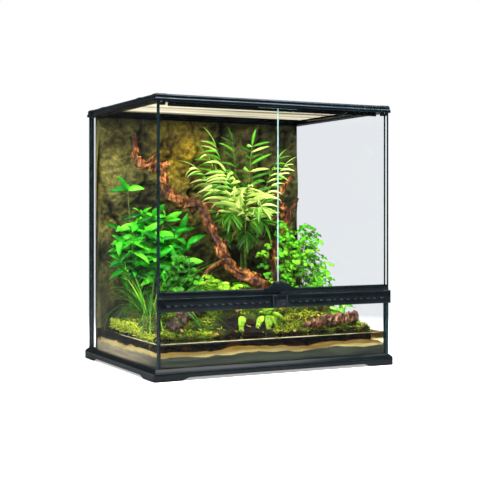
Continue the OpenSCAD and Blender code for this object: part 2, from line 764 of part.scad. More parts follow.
module bush() {
    color("#2f8a22") translate(rooted(-230, 94, -1.9)) grown(bush_h) {
        tube([[0, 0, -10], [0, 0, -3], [0, 0, 8]], [9, 12, 4], 8);
        for (k = [0:len(bush_whorls) - 1]) {
            top = bush_whorls[k];
            knee = [0.35 * top[0], 0.35 * top[1], 0.45 * top[2]];
            tube([[0.08 * top[0], 0.08 * top[1], -8], knee, top],
                [2.6, 2.2, 1.6], 5);
            for (n = [0:6]) {
                a = 360 / 7 * n + 17 * k;
                reach = 33 + 6 * sin(97 * n + 31 * k);
                out = [cos(a), sin(a), n % 2 == 0 ? 0.12 : 0.55];
                leaf(top - (2 + 3 * (n % 2)) * unit(top - knee), top + reach * unit(out),
                    [-sin(a), cos(a), 0], 11, 2);
            }
        }
    }
}

module grass() {
    color("#4fa322") translate(rooted(-232, -18, -12.3)) grown(grass_h) {
        tube([[-8, 0, -10], [-4, 0, 2], [4, 0, 8]], [8, 12, 5], 8);
        for (n = [0:21]) {
            a = n * 137.5;
            reach = 12 + 42 * pow((n + 1) / 22, 0.8);
            high = 168 - 1.7 * reach + 14 * sin(211 * n);
            foot = [-4 + 7 * cos(a), 7 * sin(a), -2];
            mid = [-4 + 0.55 * reach * cos(a), 0.55 * reach * sin(a), 0.72 * high];
            tip = [-4 + reach * cos(a), reach * sin(a), high];
            tube([foot, mid, tip], [1.9, 1.7, 0.3], 3);
        }
    }
}

// A round leaf: a domed blade with a rim of seven sides
module round_leaf(long, wide, sides = 7) {
    rim = [for (k = [0:sides - 1]) [long * cos(360 * k / sides), wide * sin(360 * k / sides), 0]];
    over = [for (k = [0:sides - 1]) [(k + 1) % sides, k, sides]];
    under = [for (k = [0:sides - 1]) [k, (k + 1) % sides, sides + 1]];
    polyhedron(concat(rim, [[0, 0, 1.3], [0, 0, -0.9]]), concat(over, under));
}

module round_leaf_plant() {
    color("#4c9a2a") translate(rooted(-146, -8, -19)) grown(146) {
        tube([[0, 0, -12], [0, 0, -3], [0, 0, 10]], [6, 12, 8], 8);
        for (n = [0:11]) {
            a = n * 137.5;
            reach = 8 + 2.9 * n;
            top = [reach * cos(a), reach * sin(a), 128 - 4 * n + 8 * sin(83 * n)];
            tube([[0.2 * top[0], 0.2 * top[1], -8], [0.5 * top[0], 0.5 * top[1], 0.6 * top[2]], top],
                [1.5, 1.2, 0.9], 4);
            translate(top) rotate([14 * sin(50 * n), 14 * cos(70 * n), a]) round_leaf(8.5, 7.3);
        }
    }
}

// A tuft of feathered fronds that spring from one crown
module fern(count, reach, high, leaflet_l, turn = 0, pairs = 6) {
    tube([[0, 0, -14], [0, 0, -2], [0, 0, 5]], [6, 8, 4], 8);
    for (n = [0:count - 1]) {
        a = turn + 360 * n / count;
        r = reach * (0.82 + 0.18 * sin(149 * n));
        frond([0, 0, 0], [r * cos(a), r * sin(a), high * (0.6 + 0.3 * sin(97 * n))], high * 0.75,
            pairs, leaflet_l, 6, 1.2, 0.22, 0.15);
    }
}

module bright_fern() {
    color("#63b51e") translate(rooted(-72, -62, 6.7)) grown(98) fern(7, 66, 96, 19, 9, 4);
}

module front_fern() {
    color("#5aa81f") translate(rooted(28, -104, 18.6)) grown(52) fern(5, 40, 52, 14, 40, 3);
}

// Fan of small leaves on thin arching stems
module maidenhair_fern() {
    color("#4ea52a") translate(rooted(200, 34, -4.5)) grown(maidenhair_h) {
        tube([[0, 0, -12], [0, 0, 0], [0, 0, 6]], [7, 9, 5], 8);
        for (n = [0:8]) {
            a = n * 137.5 + 20;
            reach = 30 + 7 * n;
            high = 190 - 13 * n + 12 * sin(77 * n);
            tip = [min(reach * cos(a), 84), 0.8 * reach * sin(a), high];
            ctrl = [0.35 * tip[0], 0.35 * tip[1], high * 1.05];
            tube([for (t = [0:0.25:1]) bend([0, 0, 0], ctrl, tip, t)], [1.3, 1.1, 1, 0.9, 0.7], 4);
            for (k = [0:4]) {
                at = chord([0, 0, 0], ctrl, tip, 0.46 + 0.132 * k);
                b = a + (k % 2 == 0 ? 62 : -62);
                leaf(at, at + [12 * cos(b), 12 * sin(b), -4], [-sin(b), cos(b), 0], 13, 1);
            }
        }
    }
}

// [direction, reach, height of the tip, width] of each glossy leaf
broad_leaves = [[175, 44, 34, 24], [120, 36, 52, 22], [60, 30, 50, 22], [10, 42, 30, 22],
    [250, 30, 26, 20], [310, 40, 22, 22], [90, 26, 92, 20]];

module broad_leaf_plant() {
    color("#5fae2c") translate(rooted(240, -112, 8.3)) grown(106) {
        tube([[0, 0, -14], [0, 0, 0], [0, 0, 10]], [5, 6, 4], 8);
        for (k = [0:len(broad_leaves) - 1]) {
            p = broad_leaves[k];
            d = [cos(p[0]), sin(p[0]), 0];
            at = 0.3 * p[1] * d + [0, 0, 0.72 * p[2]];
            tube([[0, 0, 4], 0.12 * p[1] * d + [0, 0, 0.45 * p[2]], at], [2, 1.6, 1.2], 5);
            tip = p[1] * d + [0, 0, p[2]];
            leaf(at - 1.5 * unit(tip - at), tip, [-d[1], d[0], 0], p[3], 4, 0.9);
        }
    }
}

// ---------------------------------------------------------------- pieces

base_frame();
bottom_glass();
back_glass();
side_glass();  // left_glass
mirror([1, 0, 0]) side_glass();  // right_glass
front_glass();
silicone_seams();
vent_strip();
lock_plate();
top_frame();
rim_corners();
cable_bridge();
lower_hinge_pins();
upper_hinge_pins();
background_panel();
sand_bed();
water();
soil_bank();
moss_carpet();
moss_mound();
main_branch();
upright_branch();
left_log();
right_log();
palm();
bush();
grass();
round_leaf_plant();
bright_fern();
front_fern();
maidenhair_fern();
broad_leaf_plant();
door_glass();  // left_door_glass
door_rail();  // left_door_rail
hinge_cap();  // left_hinge_cap
mirror([1, 0, 0]) door_glass();  // right_door_glass
mirror([1, 0, 0]) door_rail();  // right_door_rail
mirror([1, 0, 0]) hinge_cap();  // right_hinge_cap
lock_slide();
cover_frame();
cover_mesh();
cover_clip(-1, -1);  // front_left_clip
cover_clip(1, -1);  // front_right_clip
cover_clip(-1, 1);  // back_left_clip
cover_clip(1, 1);  // back_right_clip
port_shutter();  // left_port_shutter
mirror([1, 0, 0]) port_shutter();  // right_port_shutter
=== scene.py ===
# %% [markdown]
# # A planted glass terrarium
#
# The tank, its doors and its cover come packed from CAD and stand still. This script gives
# them their finishes, and puts real sand, water, rock, wood and leaves where the CAD keeps
# plain solids. Everything is in metres, X to the right, Y to the back, Z up. Where a maker
# would think in millimetres, a number is written in millimetres and multiplied by MM.

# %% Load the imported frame
import math
import random

import bmesh
import bpy
from mathutils import Matrix, Vector, noise
from mathutils.bvhtree import BVHTree


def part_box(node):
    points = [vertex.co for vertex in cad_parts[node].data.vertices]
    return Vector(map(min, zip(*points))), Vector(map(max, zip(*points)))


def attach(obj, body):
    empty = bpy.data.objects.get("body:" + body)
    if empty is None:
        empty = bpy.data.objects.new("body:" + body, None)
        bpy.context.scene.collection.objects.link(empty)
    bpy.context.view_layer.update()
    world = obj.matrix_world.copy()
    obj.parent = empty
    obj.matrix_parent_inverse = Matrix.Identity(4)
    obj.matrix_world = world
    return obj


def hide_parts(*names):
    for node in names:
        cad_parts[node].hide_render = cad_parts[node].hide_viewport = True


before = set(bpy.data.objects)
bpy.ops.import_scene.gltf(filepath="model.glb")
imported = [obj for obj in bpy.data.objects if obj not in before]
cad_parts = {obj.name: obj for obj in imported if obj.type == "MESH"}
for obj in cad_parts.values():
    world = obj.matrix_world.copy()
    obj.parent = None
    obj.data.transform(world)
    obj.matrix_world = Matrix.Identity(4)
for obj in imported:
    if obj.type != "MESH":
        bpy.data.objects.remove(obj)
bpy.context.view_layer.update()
MM = 0.001

# %% [markdown]
# The tank is seen level with its upper half, from the front left and through a long lens. A
# camera could be placed by eye, but this one was solved from the corners of the two black
# frames, and it comes first, because every piece is judged through it. The small shift lifts
# the horizon as a view camera's rising front does.

# %% Camera
VIEW_YAW = 27.05
VIEW_AT = (-1.1826, -2.3411, 0.3575)
FRAME_PIXELS = 480
FOCAL_PIXELS = 1069
HORIZON_ROW = 215.3

camera_data = bpy.data.cameras.new("camera")
camera_data.sensor_width = 36
camera_data.lens = 36 * FOCAL_PIXELS / FRAME_PIXELS
camera_data.shift_y = (HORIZON_ROW - FRAME_PIXELS / 2) / FRAME_PIXELS
camera = bpy.data.objects.new("camera", camera_data)
camera.location = VIEW_AT
camera.rotation_euler = (math.pi / 2, 0, -math.radians(VIEW_YAW))
bpy.context.scene.collection.objects.link(camera)
bpy.context.scene.camera = camera
bpy.context.scene.view_settings.view_transform = "Standard"
print("lens", round(camera_data.lens, 1), "mm")

# %% [markdown]
# Every material starts with the same moves, so they are written once. One helper turns the
# sRGB colours that a designer writes into the linear numbers that light adds up in. Another
# adds a node with its settings and links, which keeps a whole material on one screen. The
# last turns a size in millimetres into a pattern's scale, so each pattern is as big as its
# real grain, thread or grit.

# %% Colour and node helpers
def linear(code):
    """An sRGB hex colour such as "#7f9a2c" as linear red, green, blue and 1."""
    parts = [int(code[i : i + 2], 16) / 255 for i in (1, 3, 5)]
    return tuple(c / 12.92 if c <= 0.04045 else ((c + 0.055) / 1.055) ** 2.4 for c in parts) + (1,)


def add_node(tree, kind, values=None, links=None, stops=None, **settings):
    """Adds a node. values and links are keyed by input, and stops are a ramp's places and colours.

    A Mix node has inputs of the same name for each kind of data, so they are keyed by place:
    0 is the factor, 2 and 3 are its numbers, 6 and 7 its colours, and output 2 is the colour."""
    made = tree.nodes.new("ShaderNode" + kind)
    for name, value in settings.items():
        setattr(made, name, value)
    for name, value in (values or {}).items():
        made.inputs[name].default_value = value
    for name, source in (links or {}).items():
        tree.links.new(source, made.inputs[name])
    if stops:
        ramp = made.color_ramp
        while len(ramp.elements) < len(stops):
            ramp.elements.new(1)
        for element, (place, code) in zip(ramp.elements, stops):
            element.position = place
            element.color = linear(code)
    return made


def start_material(name):
    """A new material with its tree, its Principled shader and its output."""
    made = bpy.data.materials.new(name)
    made.use_nodes = True
    tree = made.node_tree
    tree.nodes.clear()
    shader = add_node(tree, "BsdfPrincipled")
    output = add_node(tree, "OutputMaterial", links={"Surface": shader.outputs[0]})
    print("material", name)
    return made, tree, shader, output


def every(size_mm):
    """A pattern's scale for features of this real size, on Object coordinates in metres."""
    return 1000 / size_mm


# %% [markdown]
# The tank stands on white studio paper that sweeps away without a horizon. A plain white
# plane would show its end as a grey line. So the paper glows a little, for the camera alone,
# and a step away from the tank it runs out into the white surround, while the tank's shadow
# stays on it. Mirror rays meet black cards instead, as a photographer lays them beside
# glossy black plastic, and that is why its flat faces stay dark.

# %% Floor
FLOOR_RADIUS = 14
# The feet stand on the paper without touching it, so the two never flicker into each other
FLOOR_DROP = 0.6 * MM
PAPER_GLOW = 0.42
CARD_SHARE = 0.8

floor_mesh = bmesh.new()
bmesh.ops.create_circle(floor_mesh, cap_ends=True, radius=FLOOR_RADIUS, segments=64)
floor_data = bpy.data.meshes.new("floor")
floor_mesh.to_mesh(floor_data)
floor_mesh.free()
floor = bpy.data.objects.new("floor", floor_data)
floor.location.z = -FLOOR_DROP
bpy.context.scene.collection.objects.link(floor)

paper, tree, shader, output = start_material("white_studio_paper")
shader.inputs["Base Color"].default_value = linear("#f4f5f6")
shader.inputs["Roughness"].default_value = 1.0
light_path = add_node(tree, "LightPath")
glow = add_node(tree, "Emission", {"Color": linear("#ffffff")})
lift = add_node(tree, "Math", {1: PAPER_GLOW}, {0: light_path.outputs["Is Camera Ray"]},
                operation="MULTIPLY")
tree.links.new(lift.outputs[0], glow.inputs["Strength"])
near_floor = add_node(tree, "AddShader", links={0: shader.outputs[0], 1: glow.outputs[0]})
# Away from the tank the paper runs out into the white surround, so no horizon line shows
place = add_node(tree, "TexCoord")
away = add_node(tree, "VectorMath", links={0: place.outputs["Object"]}, operation="LENGTH")
fade = add_node(tree, "MapRange", {"From Min": 0.6, "From Max": 1.3}, {"Value": away.outputs["Value"]})
seen = add_node(tree, "Math", links={0: fade.outputs[0], 1: light_path.outputs["Is Camera Ray"]},
                operation="MULTIPLY")
white = add_node(tree, "Emission", {"Color": linear("#ffffff")})
both = add_node(tree, "MixShader",
                links={0: seen.outputs[0], 1: near_floor.outputs[0], 2: white.outputs[0]})
# Black cards lie just out of the picture, so a mirror image of the floor is mostly dark
carded = add_node(tree, "Math", {1: CARD_SHARE}, {0: light_path.outputs["Is Glossy Ray"]},
                  operation="MULTIPLY")
card = add_node(tree, "Emission", {"Color": linear("#0a0c0e"), "Strength": 1.0})
shown = add_node(tree, "MixShader", links={0: carded.outputs[0], 1: both.outputs[0], 2: card.outputs[0]})
tree.links.new(shown.outputs[0], output.inputs["Surface"])
floor_data.materials.append(paper)
print("floor", FLOOR_RADIUS, "m to its edge")

# %% [markdown]
# The room around the tank is drawn by direction alone, from below the floor to straight
# above. It could be a real box of white walls, but then light and picture would hang
# together. Here the camera, and whatever is seen through glass, gets pure white, light that
# bounces comes from a soft grey to white sky, and mirror rays meet dark cards with one
# bright strip overhead, which draws the thin highlights on the plastic's edges.

# %% Surround
world = bpy.data.worlds.new("studio")
bpy.context.scene.world = world
world.use_nodes = True
tree = world.node_tree
tree.nodes.clear()
light_path = add_node(tree, "LightPath")
direction = add_node(tree, "TexCoord")
split = add_node(tree, "SeparateXYZ", links={0: direction.outputs["Generated"]})
height = add_node(tree, "MapRange", {"From Min": -0.2, "From Max": 0.9, "To Min": 0.0, "To Max": 1.0},
                  {"Value": split.outputs["Z"]})
room = add_node(tree, "ValToRGB", links={0: height.outputs[0]},
                stops=[(0.0, "#70757a"), (0.35, "#8f9498"), (1.0, "#f2f4f6")])
cards = add_node(tree, "ValToRGB", links={0: height.outputs[0]},
                 stops=[(0.15, "#3a4046"), (0.3, "#0d1013"), (0.9, "#1c2226"), (0.97, "#ffffff")])
mirrored = add_node(tree, "Mix", links={0: light_path.outputs["Is Glossy Ray"], 6: room.outputs[0],
                                        7: cards.outputs[0]}, data_type="RGBA")
seen = add_node(tree, "Math", links={0: light_path.outputs["Is Camera Ray"],
                                     1: light_path.outputs["Is Transmission Ray"]}, operation="MAXIMUM")
# A little of the white gets past the cards
some = add_node(tree, "Math", {1: 0.06}, {0: light_path.outputs["Is Glossy Ray"]}, operation="MULTIPLY")
white_part = add_node(tree, "Math", links={0: seen.outputs[0], 1: some.outputs[0]}, operation="MAXIMUM")
colour = add_node(tree, "Mix", links={0: white_part.outputs[0], 6: mirrored.outputs[2]}, data_type="RGBA")
colour.inputs[7].default_value = (1, 1, 1, 1)
top_light = add_node(tree, "MapRange", {"From Min": 0.9, "From Max": 1.0, "To Min": 1.0, "To Max": 4.0},
                     {"Value": height.outputs[0]})
strength = add_node(tree, "Mix", {2: 1.0},
                    {0: light_path.outputs["Is Glossy Ray"], 3: top_light.outputs[0]}, data_type="FLOAT")
background = add_node(tree, "Background",
                      links={"Color": colour.outputs[2], "Strength": strength.outputs[0]})
add_node(tree, "OutputWorld", links={"Surface": background.outputs[0]})
print("surround of", len(tree.nodes), "nodes")

# %% [markdown]
# Three square soft boxes light the tank: one over it, whose light falls in through the
# screen, a broad one from the front left, and a weaker one from the left that fills the
# shadows. A sun or a point lamp would cut hard shadows. A broad lamp near the tank gives the
# soft edges of a studio's.

# %% Lamps
def soft_box(name, at, aim, size, watts):
    """A square lamp of this width, turned to shine from one point towards another."""
    data = bpy.data.lights.new(name, "AREA")
    data.shape = "SQUARE"
    data.size = size
    data.energy = watts
    lamp = bpy.data.objects.new(name, data)
    lamp.location = at
    lamp.rotation_euler = (Vector(aim) - Vector(at)).to_track_quat("-Z", "Y").to_euler()
    bpy.context.scene.collection.objects.link(lamp)
    print(name, watts, "W")
    return lamp


overhead = soft_box("overhead_box", (0.0, -0.3, 1.7), (0, 0, 0.3), 0.35, 110)
soft_box("key_box", (-1.6, -2.0, 2.1), (0, 0, 0.25), 0.7, 70)
soft_box("side_box", (-2.3, -0.7, 1.3), (-0.1, 0, 0.3), 0.7, 28)
# Its image in the rim's bevel would burn out, so only the surround is mirrored up there
overhead.visible_glossy = False

# %% [markdown]
# Every piece ends in the same few moves. Its bmesh becomes an object that stays at the
# origin, it takes its materials, it rides on the CAD body that carries it, and the CAD solids
# it stands for are hidden. A piece that starts from a CAD solid works on a welded copy,
# because a CAD mesh is loose triangles that share no corners.

# %% Piece helpers
def new_piece(name, bm, materials, replaces=(), body="tank", smooth=True):
    """Makes an object at the origin from a bmesh, on a body, in place of some CAD nodes."""
    data = bpy.data.meshes.new(name)
    for face in bm.faces:
        face.smooth = smooth
    bm.to_mesh(data)
    bm.free()
    for material in materials:
        data.materials.append(material)
    made = bpy.data.objects.new(name, data)
    bpy.context.scene.collection.objects.link(made)
    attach(made, body)
    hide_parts(*replaces)
    print(name, len(data.polygons), "faces")
    return made


def merged_copy(node):
    """A bmesh of a CAD node with its loose triangles welded."""
    bm = bmesh.new()
    bm.from_mesh(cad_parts[node].data)
    bmesh.ops.remove_doubles(bm, verts=bm.verts, dist=2e-6)
    return bm


def finish_node(node, material):
    """Gives a CAD node that keeps its own shape its finish."""
    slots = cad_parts[node].data.materials
    slots.clear()
    slots.append(material)
    print(node, "in", material.name)


# %% [markdown]
# The black mouldings are ABS, shot into a polished and lightly spark-eroded mould. One flat
# black would look like a hole in the picture. So the eye gets a deep blue-black that drifts a
# little, a gloss that drifts with it, and the faintest grain. The edges have a material of
# their own with a painted blue-grey highlight, because they are what catches light.

# %% Moulded black plastic
black_plastic, tree, shader, output = start_material("moulded_black_abs")
place = add_node(tree, "TexCoord")
# Spark-eroded grit is about 0.1 mm wide, too fine to show, so it is drawn at 1.6 mm
grain = add_node(tree, "TexNoise", {"Scale": every(1.6), "Detail": 3}, {"Vector": place.outputs["Object"]})
flow = add_node(tree, "TexNoise", {"Scale": every(70), "Detail": 2}, {"Vector": place.outputs["Object"]})
tint = add_node(tree, "ValToRGB", links={0: flow.outputs["Fac"]},
                stops=[(0.3, "#04080a"), (0.7, "#081013")])
matte = add_node(tree, "MapRange", {"To Min": 0.12, "To Max": 0.19}, {"Value": flow.outputs["Fac"]})
skin = add_node(tree, "Bump", {"Strength": 0.08, "Distance": 0.15 * MM}, {"Height": grain.outputs["Fac"]})
tree.links.new(tint.outputs[0], shader.inputs["Base Color"])
tree.links.new(matte.outputs[0], shader.inputs["Roughness"])
tree.links.new(skin.outputs[0], shader.inputs["Normal"])
shader.inputs["IOR"].default_value = 1.5
shader.inputs["Specular IOR Level"].default_value = 0.35

# An edge that looks up or forwards gets a painted blue-grey highlight, broken up in places by noise
edge_highlight_plastic, tree, shader, output = start_material("abs_edge_painted_highlight")
shape = add_node(tree, "NewGeometry")
place = add_node(tree, "TexCoord")
lit = add_node(tree, "VectorMath", {1: (0, -0.6, 0.8)}, {0: shape.outputs["Normal"]},
               operation="DOT_PRODUCT")
highlight_breakup = add_node(tree, "TexNoise", {"Scale": every(25), "Detail": 3}, {"Vector": place.outputs["Object"]})
painted_light_share = add_node(tree, "Math", links={0: lit.outputs["Value"], 1: highlight_breakup.outputs["Fac"]}, operation="MULTIPLY")
tint = add_node(tree, "ValToRGB", links={0: painted_light_share.outputs[0]}, stops=[(0.1, "#070c0f"), (0.5, "#4a5560")])
tree.links.new(tint.outputs[0], shader.inputs["Base Color"])
shader.inputs["Roughness"].default_value = 0.22

# %% [markdown]
# The frames, the strip, the lock, the door rails and the clips are all mouldings, and a
# mould has no perfectly sharp corners. They could be modelled again from nothing, but their
# CAD nodes already have the true sizes. So each is a copy of its node, and a Bevel modifier
# rolls its sharp edges over by half a millimetre or so and gives them the edge material with
# its painted highlight. A bevel never reaches past the faces it joins, so sizes stay true.

# %% Mouldings from the CAD nodes
# The hinge pin's place, and the slant at a door rail's hinge end, all in millimetres: the
# slant starts this far out in front of the pin, rises to the rail's face and is drawn out
# from the CAD's run to an easier one
PIVOT_X, PIVOT_Y = 289.5, -220.0
SLANT_START, SLANT_RISE = 4.8, 2.2
CAD_RUN, EASED_RUN = 6, 14


def ease_hinge_end(bm):
    """Draws out a door rail's slant, so that its corner clears the side pane at 105 degrees."""
    for v in bm.verts:
        run = PIVOT_X - abs(v.co.x) / MM
        out = PIVOT_Y - v.co.y / MM
        slant = (out - SLANT_START) / SLANT_RISE
        if 0.1 < run < CAD_RUN + 0.2 and abs(run - CAD_RUN * slant) < 0.15:
            v.co.x = math.copysign(PIVOT_X - EASED_RUN * slant, v.co.x) * MM


def moulding(name, node, body, roll_mm):
    """A copy of a CAD node in black plastic, with its sharp edges rolled over and given a painted highlight."""
    bm = merged_copy(node)
    if node.endswith("door_rail"):
        ease_hinge_end(bm)
    bmesh.ops.dissolve_limit(bm, angle_limit=math.radians(0.5), verts=bm.verts, edges=bm.edges)
    piece = new_piece(name, bm, [black_plastic, edge_highlight_plastic], [node], body)
    roll = piece.modifiers.new("rolled_edges", "BEVEL")
    roll.width = roll_mm * MM
    roll.segments = 2
    roll.material = 1
    roll.limit_method = "ANGLE"
    roll.angle_limit = math.radians(28)
    roll.harden_normals = True
    roll.use_clamp_overlap = True
    return piece


moulding("base_moulding", "base_frame", "tank", 2.0)
moulding("rim_moulding", "top_frame", "tank", 0.9)
moulding("rim_corner_caps", "rim_corners", "tank", 0.5)
moulding("vent_grille", "vent_strip", "tank", 0.35)
moulding("lock_housing", "lock_plate", "tank", 0.6)

# %% [markdown]
# Slanted blades stand behind the strip's slots, so air finds a way through and the eye
# doesn't. They could be one louvred sheet, but each slot shows only its own blade, so one
# thin blade is tipped forwards and set down again at every slot.

# %% Vent slats
# Slots on each side of the lock, the first one's distance from the middle, and their pitch
SLOTS, SLOT_START, SLOT_PITCH = 14, 34, 18.6
SLOT_Y, SLOT_Z = -223.2, 162
SLAT_SIZE = (12.5, 0.8, 6.4)
SLAT_TIP = math.radians(-38)

slats = bmesh.new()
tipped = Matrix.Rotation(SLAT_TIP, 4, "X") @ Matrix.Diagonal((*(n * MM for n in SLAT_SIZE), 1))
for side in (-1, 1):
    for k in range(SLOTS):
        at = Vector((side * (SLOT_START + k * SLOT_PITCH), SLOT_Y, SLOT_Z)) * MM
        bmesh.ops.create_cube(slats, size=1, matrix=Matrix.Translation(at) @ tipped)
# The blades wear the edge material, so its painted highlight shows on them as pale glints
new_piece("vent_slats", slats, [edge_highlight_plastic], smooth=False)

# %% [markdown]
# The other mouldings are cut from their nodes in the same way, but most of them move: the
# rails and top hinges swing with their doors, and the clips, shutters, lock and cover slide.
# Left and right are mirror twins in the CAD already, so one loop names both.

# %% Mouldings of the doors, clips and cover
moulding("cable_bar", "cable_bridge", "tank", 0.5)
for side in ("left", "right"):
    moulding(side + "_door_moulding", side + "_door_rail", side + "_door", 0.7)
    moulding(side + "_top_hinge", side + "_hinge_cap", side + "_door", 0.35)
    moulding(side + "_cable_shutter", side + "_port_shutter", "shutter_" + side, 0.4)
    for end in ("front", "back"):
        moulding(f"{end}_{side}_cover_clip", f"{end}_{side}_clip", f"clip_{end}_{side}", 0.3)
moulding("lock_button", "lock_slide", "lock_catch", 0.4)
moulding("cover_moulding", "cover_frame", "screen_cover", 0.6)

# %% [markdown]
# Float glass is clear face on and sea green along its cut edges, because there the eye looks
# through tens of centimetres of it. The bonded panes' edges sit in black silicone and stay
# dark, and the doors' polished edges are free, so they are painted pale as a highlight of the
# light that comes through them. A Glass shader on seven panes would bend and dim the view and
# leave it noisy. So a pane is Transparent mixed with Glossy by Fresnel, which is how thin flat
# glass acts, and its material tells face from edge by the way the pane faces.

# %% Float glass
# The share of the reflection that a polarising filter on the lens lets through
POLARISED = 0.3
# Metres from the tank's middle: the doors' meeting edges are free, and a dark strip runs up their hinge edges
FREE_EDGE = 0.05
HINGE_STRIP_START = 0.2915


def float_glass(name, axis, edge_dark, edge_light, free_edge=False):
    """Clear glass whose faces look along an axis, with tinted cut edges. With free_edge, only
    an edge in the middle of the tank has the given tints, because only it is free to shine."""
    made, tree, shader, output = start_material(name)
    shape = add_node(tree, "NewGeometry")
    # In the pane's own directions, so that a door keeps its clear faces when it swings
    own = add_node(tree, "VectorTransform", links={0: shape.outputs["True Normal"]}, vector_type="NORMAL",
                   convert_from="WORLD", convert_to="OBJECT")
    split = add_node(tree, "SeparateXYZ", links={0: own.outputs[0]})
    facing = add_node(tree, "Math", links={0: split.outputs[axis]}, operation="ABSOLUTE")
    is_edge = add_node(tree, "Math", {1: 0.5}, {0: facing.outputs[0]}, operation="LESS_THAN")
    place = add_node(tree, "TexCoord")
    streak = add_node(tree, "TexNoise", {"Scale": every(12), "Detail": 2}, {"Vector": place.outputs["Object"]})
    smear = add_node(tree, "MapRange", {"To Min": 0.005, "To Max": 0.03}, {"Value": streak.outputs["Fac"]})
    tint = add_node(tree, "BsdfTransparent", {"Color": linear("#f9fafb")})
    shine = add_node(tree, "BsdfGlossy", {"Color": (1, 1, 1, 1)}, {"Roughness": smear.outputs[0]})
    mirror = add_node(tree, "Fresnel", {"IOR": 1.5})
    # Only the side that faces the eye reflects: the ray goes straight on, so the far side would
    # see itself at a slant that real glass never does
    front = add_node(tree, "Math", {0: 1.0}, {1: shape.outputs["Backfacing"]}, operation="SUBTRACT")
    gleam = add_node(tree, "Math", links={0: mirror.outputs[0], 1: front.outputs[0]}, operation="MULTIPLY")
    gleam = add_node(tree, "Math", {1: POLARISED}, {0: gleam.outputs[0]}, operation="MULTIPLY")
    pane = add_node(tree, "MixShader", links={0: gleam.outputs[0], 1: tint.outputs[0], 2: shine.outputs[0]})
    edge_colour = add_node(tree, "ValToRGB", links={0: streak.outputs["Fac"]},
                           stops=[(0.3, edge_dark), (0.7, edge_light)])
    if free_edge:
        where = add_node(tree, "SeparateXYZ", links={0: place.outputs["Object"]})
        across = add_node(tree, "Math", links={0: where.outputs["X"]}, operation="ABSOLUTE")
        hidden = add_node(tree, "Math", {1: FREE_EDGE}, {0: across.outputs[0]}, operation="GREATER_THAN")
        edge_colour = add_node(tree, "Mix", links={0: hidden.outputs[0], 6: edge_colour.outputs[0]},
                               data_type="RGBA")
        edge_colour.inputs[7].default_value = linear("#0a1b1d")
        # A dark, opaque strip runs up each hinge edge
        in_hinge_strip = add_node(tree, "Math", {1: HINGE_STRIP_START}, {0: across.outputs[0]}, operation="GREATER_THAN")
        is_edge = add_node(tree, "Math", links={0: is_edge.outputs[0], 1: in_hinge_strip.outputs[0]},
                           operation="MAXIMUM")
    tree.links.new(edge_colour.outputs[2 if free_edge else 0], shader.inputs["Base Color"])
    shader.inputs["Roughness"].default_value = 0.25
    whole = add_node(tree, "MixShader",
                     links={0: is_edge.outputs[0], 1: pane.outputs[0], 2: shader.outputs[0]})
    tree.links.new(whole.outputs[0], output.inputs["Surface"])
    return made


bonded_front = float_glass("bonded_glass_front", "Y", "#0c2224", "#1d4546")
bonded_side = float_glass("bonded_glass_side", "X", "#060e10", "#0f2426")
bonded_floor = float_glass("bonded_glass_floor", "Z", "#0c2224", "#1d4546")
# The doors' free edges are painted pale cyan, as a highlight of the light that comes through them
polished_door = float_glass("polished_door_glass", "Y", "#7fb5b1", "#cfe9e6", free_edge=True)
for node, glass in (("front_glass", bonded_front), ("back_glass", bonded_front),
                    ("left_glass", bonded_side), ("right_glass", bonded_side),
                    ("bottom_glass", bonded_floor), ("left_door_glass", polished_door),
                    ("right_door_glass", polished_door)):
    finish_node(node, glass)

# %% [markdown]
# The panes are bonded with black silicone, tooled with a finger: a rubbery bead with a dull
# shine and slow waves along it. The doors turn on pins of turned stainless steel, bright and
# faintly ringed. Both CAD solids have the right shape already, so nothing is modelled again,
# and noise of a few millimetres for the bead, and under one for the pins, does the rest.

# %% Silicone and steel
silicone, tree, shader, output = start_material("black_silicone_rubber")
place = add_node(tree, "TexCoord")
wave = add_node(tree, "TexNoise", {"Scale": every(9), "Detail": 2}, {"Vector": place.outputs["Object"]})
tint = add_node(tree, "ValToRGB", links={0: wave.outputs["Fac"]}, stops=[(0.3, "#06090a"), (0.7, "#0f1416")])
skin = add_node(tree, "Bump", {"Strength": 0.4, "Distance": 0.4 * MM}, {"Height": wave.outputs["Fac"]})
tree.links.new(tint.outputs[0], shader.inputs["Base Color"])
tree.links.new(skin.outputs[0], shader.inputs["Normal"])
shader.inputs["Roughness"].default_value = 0.38
shader.inputs["IOR"].default_value = 1.41

steel, tree, shader, output = start_material("turned_stainless_steel")
place = add_node(tree, "TexCoord")
turned = add_node(tree, "TexNoise", {"Scale": every(0.8), "Detail": 2}, {"Vector": place.outputs["Object"]})
tint = add_node(tree, "ValToRGB", links={0: turned.outputs["Fac"]}, stops=[(0.3, "#9da1a3"), (0.7, "#c3c6c7")])
tree.links.new(tint.outputs[0], shader.inputs["Base Color"])
shader.inputs["Metallic"].default_value = 1.0
shader.inputs["Roughness"].default_value = 0.3

finish_node("silicone_seams", silicone)
finish_node("lower_hinge_pins", steel)
finish_node("upper_hinge_pins", steel)

# %% [markdown]
# The cover is real wire cloth: hundreds of thin stainless wires each way. Seen flat on, the
# light falls through it. Seen along it, the near wires close up into a pale, streaky sheet.
# A sheet with a see-through pattern would keep the same look from every side, so the wires
# are modelled, a straight square bar each. Real cloth has a wire every millimetre or so, too
# fine to show, so they stand further apart here.

# %% Wire cloth
wire_cloth, tree, shader, output = start_material("stainless_wire_cloth")
place = add_node(tree, "TexCoord")
